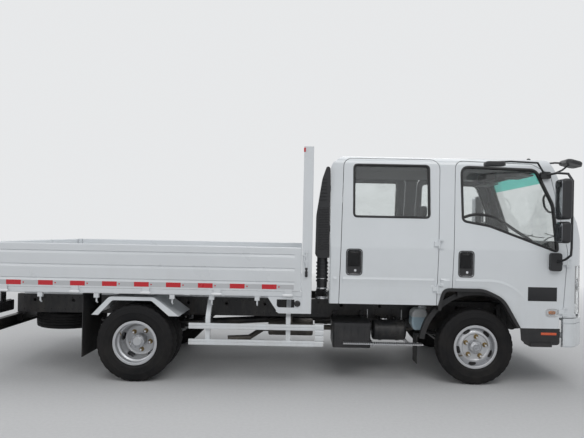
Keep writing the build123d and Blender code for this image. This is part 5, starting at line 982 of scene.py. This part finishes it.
# Door cards: woven insert, armrest with a pull edge, release lever in its cup and a pocket in front.
# Per door: insert x, armrest x, lever x, pocket x
card_y = 0.94
door_cards = {"front": ((1.84, 2.46), (1.92, 2.3), (2.345, 2.435), (2.13, 2.46)),
              "rear": ((0.66, 1.42), (0.74, 1.13), (1.215, 1.305), None)}
for name, (insert, rest, lever, pocket) in door_cards.items():
    body = "door_%s_" % name
    for side_name, side in sides:
        lining("door_lining_%s_%s" % (name, side_name), body + side_name, body + side_name)
    both("card_insert_%s_" % name, headlining, body,
         (moulding, oblong(*insert, 1.162, 1.425, 0.045), [(0, 0.9405), (0, 0.938), (-0.003, 0.9362)]))
    fittings = [
        (moulding, oblong(*rest, 1.268, 1.322, 0.022), [(0, card_y), (0, 0.914), (-0.004, 0.905), (-0.012, 0.901)]),
        (moulding, oblong(*lever, 1.352, 1.398, 0.012), [(0, card_y), (-0.002, 0.933), (-0.006, 0.9325)]),
        (moulding, oblong(lever[0] + 0.012, lever[1] - 0.01, 1.369, 1.382, 0.004),
         [(0, 0.935), (0, 0.9265), (-0.002, 0.9245)]),
    ]
    if pocket:
        fittings += [(moulding, oblong(*pocket, 1.036, 1.126, 0.026), [(0, card_y), (0, 0.916), (-0.004, 0.912)]),
                     (add_box, (pocket[0] + 0.035, 0.9385, 1.121), (pocket[1] - 0.035, 0.93, 1.135), 0.003)]
    both("card_fittings_%s_" % name, plastic, body, *fittings)


# Seats: crowned cushions and backs with sewn channels
def cushion(name, low, high, crown, channels, facing, lean=0.0):
    """Padded block between two corners: sides pulled in between the corners, channels sewn into one face.

    facing is the axis and sign of the sewn face; a channel is (axis, place from -1 to 1, width, depth).
    """
    size = [b - a for a, b in zip(low, high)]
    middle = [(a + b) / 2 for a, b in zip(low, high)]
    work = bmesh.new()
    bmesh.ops.create_cube(work, size=2.0)
    bmesh.ops.subdivide_edges(work, edges=work.edges[:], cuts=17, use_grid_fill=True)
    axis, sign = facing
    others = [k for k in range(3) if k != axis]
    for vertex in work.verts:
        p = list(vertex.co)
        r = [abs(v) for v in p]
        q = []
        for k in range(3):
            a, b = [r[j] for j in range(3) if j != k]
            q.append(p[k] * (1 - 0.1 * max(a, b) ** 8 - 0.05 * (a * b) ** 4))
        for k in others:
            q[k] *= 1 - 0.025 * (1 - r[axis] ** 2)
        puff = crown * (1 - r[others[0]] ** 3) * (1 - r[others[1]] ** 3)
        place = [m + v * s / 2 for m, v, s in zip(middle, q, size)]
        if p[axis] * sign > 0:
            place[axis] += sign * (puff - crown) * (p[axis] * sign)
            for channel_axis, where, width, depth in channels:
                distance = abs(p[channel_axis] - where) * size[channel_axis] / 2
                place[axis] -= sign * depth * math.exp(-(distance / width) ** 2) * (p[axis] * sign) ** 6
        place[0] += lean * (place[2] - low[2])
        vertex.co = place
    piece = from_bmesh(name, work, cloth, "chassis", angle=80)
    modifier = piece.modifiers.new("smooth", "SUBSURF")
    modifier.levels = modifier.render_levels = 1
    return piece


def seat_pieces(prefix, x, y0, y1, base, splits, restraints):
    """Cushion, back and head restraints of one seat; splits are the sewn joins across its width."""
    joins = [(1, -1.0 + 2.0 * (split - y0) / (y1 - y0), 0.012, 0.012) for split in splits]
    made = [
        cushion(prefix + "_cushion", (x + 0.004, y0 + 0.004, base + 0.004), (x + 0.476, y1 - 0.004, base + 0.142),
                0.024, joins + [(0, -0.35, 0.009, 0.007), (0, 0.45, 0.009, 0.007)], (2, 1)),
        cushion(prefix + "_back", (x + 0.014, y0 + 0.006, base + 0.075), (x + 0.13, y1 - 0.006, base + 0.642),
                0.026, joins + [(2, -0.45, 0.01, 0.007), (2, 0.35, 0.01, 0.007)], (0, 1), lean=-0.195),
    ]
    for index, y in enumerate(restraints):
        made.append(cushion("%s_restraint_%d" % (prefix, index + 1), (x - 0.086, y - 0.123, base + 0.688),
                            (x - 0.01, y + 0.123, base + 0.824), 0.014, [(2, -0.1, 0.006, 0.003)], (0, 1)))
        add_piece("%s_restraint_rods_%d" % (prefix, index + 1), chrome, "chassis",
                  *[(bent_tube, [(x - 0.038, rod, base + 0.6), (x - 0.042, rod, base + 0.66),
                                 (x - 0.046, rod, base + 0.71)], 0.006, 10) for rod in (y - 0.04, y + 0.04)])
    return made


front_pieces = seat_pieces("driver_seat", 1.72, 0.18, 0.7, 1.02, (0.27, 0.61), (0.44,))
front_pieces += seat_pieces("passenger_seat", 1.72, -0.82, 0.13, 1.02,
                            (-0.72, -0.4, -0.3, 0.04), (-0.54, -0.06))
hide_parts("front_seats")
rear_pieces = seat_pieces("rear_bench", 0.6, -0.88, 0.88, 1.18, (-0.78, -0.31, -0.27, 0.27, 0.31, 0.78),
                          (-0.54, 0.54))
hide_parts("rear_seat")
add_piece("rear_bench_base", plastic, "chassis", (add_box, (0.622, -0.858, 0.872), (1.038, 0.858, 1.183), 0.012, 3))
add_piece("instrument_glass", gloss_black, "chassis", (add_box, (2.545, 0.27, 1.262), (2.6, 0.61, 1.3), 0.012, 3))
add_piece("dash_vents", gloss_black, "chassis",
          *[(add_box, (2.515, y - 0.055, z), (2.56, y + 0.055, z + 0.006), 0.002)
            for y in (-0.62, -0.1, 0.1, 0.74) for z in [1.15 + k * 0.017 for k in range(4)]])

# Underneath: rivets along the rails, washer fluid and its cap, the air intake's louvres and hose clamps
rail_y = 0.4
rivets = []
for side in (-1, 1):
    for k in range(74):
        for z in (0.595, 0.725):
            found = hit(["frame"], (-2.88 + k * 0.075, side * 0.75, z), (0, -side, 0))
            if found and abs(abs(found[0].y) - rail_y) < 0.004:
                rivets.append((revolve, found[0] - Vector((0, side * 0.0005, 0)), (0, side, 0),
                               [(0, 0.0085), (0.004, 0.0078), (0.0068, 0.004), (0.0072, 0.0)], 10))
add_piece("rail_rivets", chassis_paint, "chassis", *rivets)
low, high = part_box("washer_bottle")
work = bmesh.new()
work.from_mesh(nodes["washer_bottle"].data)
cut_off(work, low[2] * 0.45 + high[2] * 0.55, -1)
swell(work, 0.0007)
from_bmesh("washer_fluid", work, fluid, "chassis")
add_piece("washer_cap", pale_plastic, "chassis",
          (revolve, (1.415, -0.64, 0.716), (0, 0, 1),
           [(-0.012, 0.026), (0.004, 0.026), (0.006, 0.029), (0.022, 0.029), (0.025, 0.026), (0.025, 0.0)], 30))
louvres = []
for k in range(26):
    z = 1.32 + k * 0.0165
    found = hit(["air_intake"], (0.36, -1.6, z), (0, 1, 0))
    if found:
        louvres.append((add_box, (0.315, found[0].y - 0.0035, z), (0.415, found[0].y + 0.003, z + 0.0075), 0.002, 1))
add_piece("intake_louvres", gloss_black, "chassis", *louvres)
clamp_rows = [(0, 0.0525), (0, 0.0555), (0.012, 0.0555), (0.012, 0.0525)]
add_piece("hose_clamps", bright_metal, "chassis",
          *[(revolve, (0.362, -0.875, z), (0, 0, 1), clamp_rows, 36) for z in (0.83, 0.93, 1.03)])

# Splash shields on the inner sides of the front wheel arches, ahead of the wheels
shield_rows = [(2.29, 0.47, 0.03), (2.27, 0.74, 0.02), (2.64, 0.76, 0.02), (2.64, 0.5, 0.04)]
shield_y0, shield_y1 = 0.452, 0.458
both("splash_shield_", liner_plastic, "chassis",
     (moulding, shield_rows, [(0, shield_y0), (0, shield_y1)], 5, 0.05),
     *[(bent_tube, [(x, shield_y1, 0.52), (x, shield_y1, 0.735)], 0.006, 8)
       for x in [2.33 + 0.065 * k for k in range(5)]])

# Floor, lights and camera
pale = (0.8, 0.81, 0.82)


def backdrop_rays(near):
    """1 for rays that show the pale background: from the camera, off gloss and through glass."""
    rays = add_node(near, "LightPath", {}).outputs
    return product(product(rays["Is Camera Ray"], rays["Is Glossy Ray"], "MAXIMUM"), rays["Is Transmission Ray"],
                   "MAXIMUM")


def blended(factor, first, second, output):
    """Mix of two shaders into an output node."""
    wire(output, {"Surface": add_node(factor, "MixShader", {0: factor, 1: first, 2: second}).outputs[0]})


floor_material, shader, place = new_material("studio_floor", (0.62, 0.62, 0.62), 0.85)
grain = noise(place, 35.0, 6.0)
wire(shader, {"Base Color": ramp(grain, 0.2, (0.58, 0.58, 0.58), 0.8, (0.64, 0.64, 0.64)),
              "Normal": bump(grain, 0.05, 0.001)})
distance = add_node(place, "VectorMath", {0: place}, operation="LENGTH").outputs["Value"]
blended(product(span(distance, 4.5, 13.0, 0.0, 1.0), backdrop_rays(place)), shader.outputs[0],
        add_node(place, "Emission", {"Color": pale}).outputs[0], floor_material.node_tree.nodes["Material Output"])
work = bmesh.new()
revolve(work, (0, 0, -0.0005), (0, 0, 1), [(0, 0.0), (0, 4.0), (0, 9.0), (0, 20.0), (0, 90.0)], 64)
mesh = to_mesh("studio_floor", work)
mesh.materials.append(floor_material)
floor = bpy.data.objects.new("studio_floor", mesh)
bpy.context.scene.collection.objects.link(floor)


def lamp(name, place, target, size, power):
    """Area lamp that points at a target."""
    data = bpy.data.lights.new(name, "AREA")
    data.shape = "RECTANGLE"
    data.size, data.size_y = size
    data.energy = power
    light = bpy.data.objects.new(name, data)
    bpy.context.scene.collection.objects.link(light)
    light.location = place
    light.rotation_euler = (Vector(target) - Vector(place)).to_track_quat("-Z", "Y").to_euler()


lamp("key", (2.0, -7.5, 8.5), (0.0, 0.0, 0.9), (8.0, 5.0), 310)
lamp("fill", (-8.0, -6.0, 5.0), (-0.5, 0.0, 0.8), (6.0, 4.0), 102)
lamp("top", (0.0, 1.0, 9.5), (0.0, 0.0, 0.5), (10.0, 6.0), 220)
lamp("back", (1.0, 9.0, 6.0), (0.0, 0.0, 0.9), (8.0, 5.0), 170)
world = bpy.data.worlds.new("studio")
bpy.context.scene.world = world
world.use_nodes = True
background = wire(world.node_tree.nodes["Background"], {"Color": (0.93, 0.96, 1.0), "Strength": 0.42})
shown = add_node(background, "Background", {"Color": pale, "Strength": 1.0})
blended(backdrop_rays(background), background.outputs[0], shown.outputs[0], world.node_tree.nodes["World Output"])

camera_data = bpy.data.cameras.new("camera")
camera_data.sensor_width = 36.0
camera_data.lens = 31.4
camera_data.shift_x = -0.0205
camera_data.shift_y = 0.022
camera = bpy.data.objects.new("camera", camera_data)
bpy.context.scene.collection.objects.link(camera)
camera.location = (0.173, -5.985, 1.493)
camera.rotation_euler = (math.radians(90), math.radians(-1.1), 0)
bpy.context.scene.camera = camera
bpy.context.scene.view_settings.view_transform = "Standard"
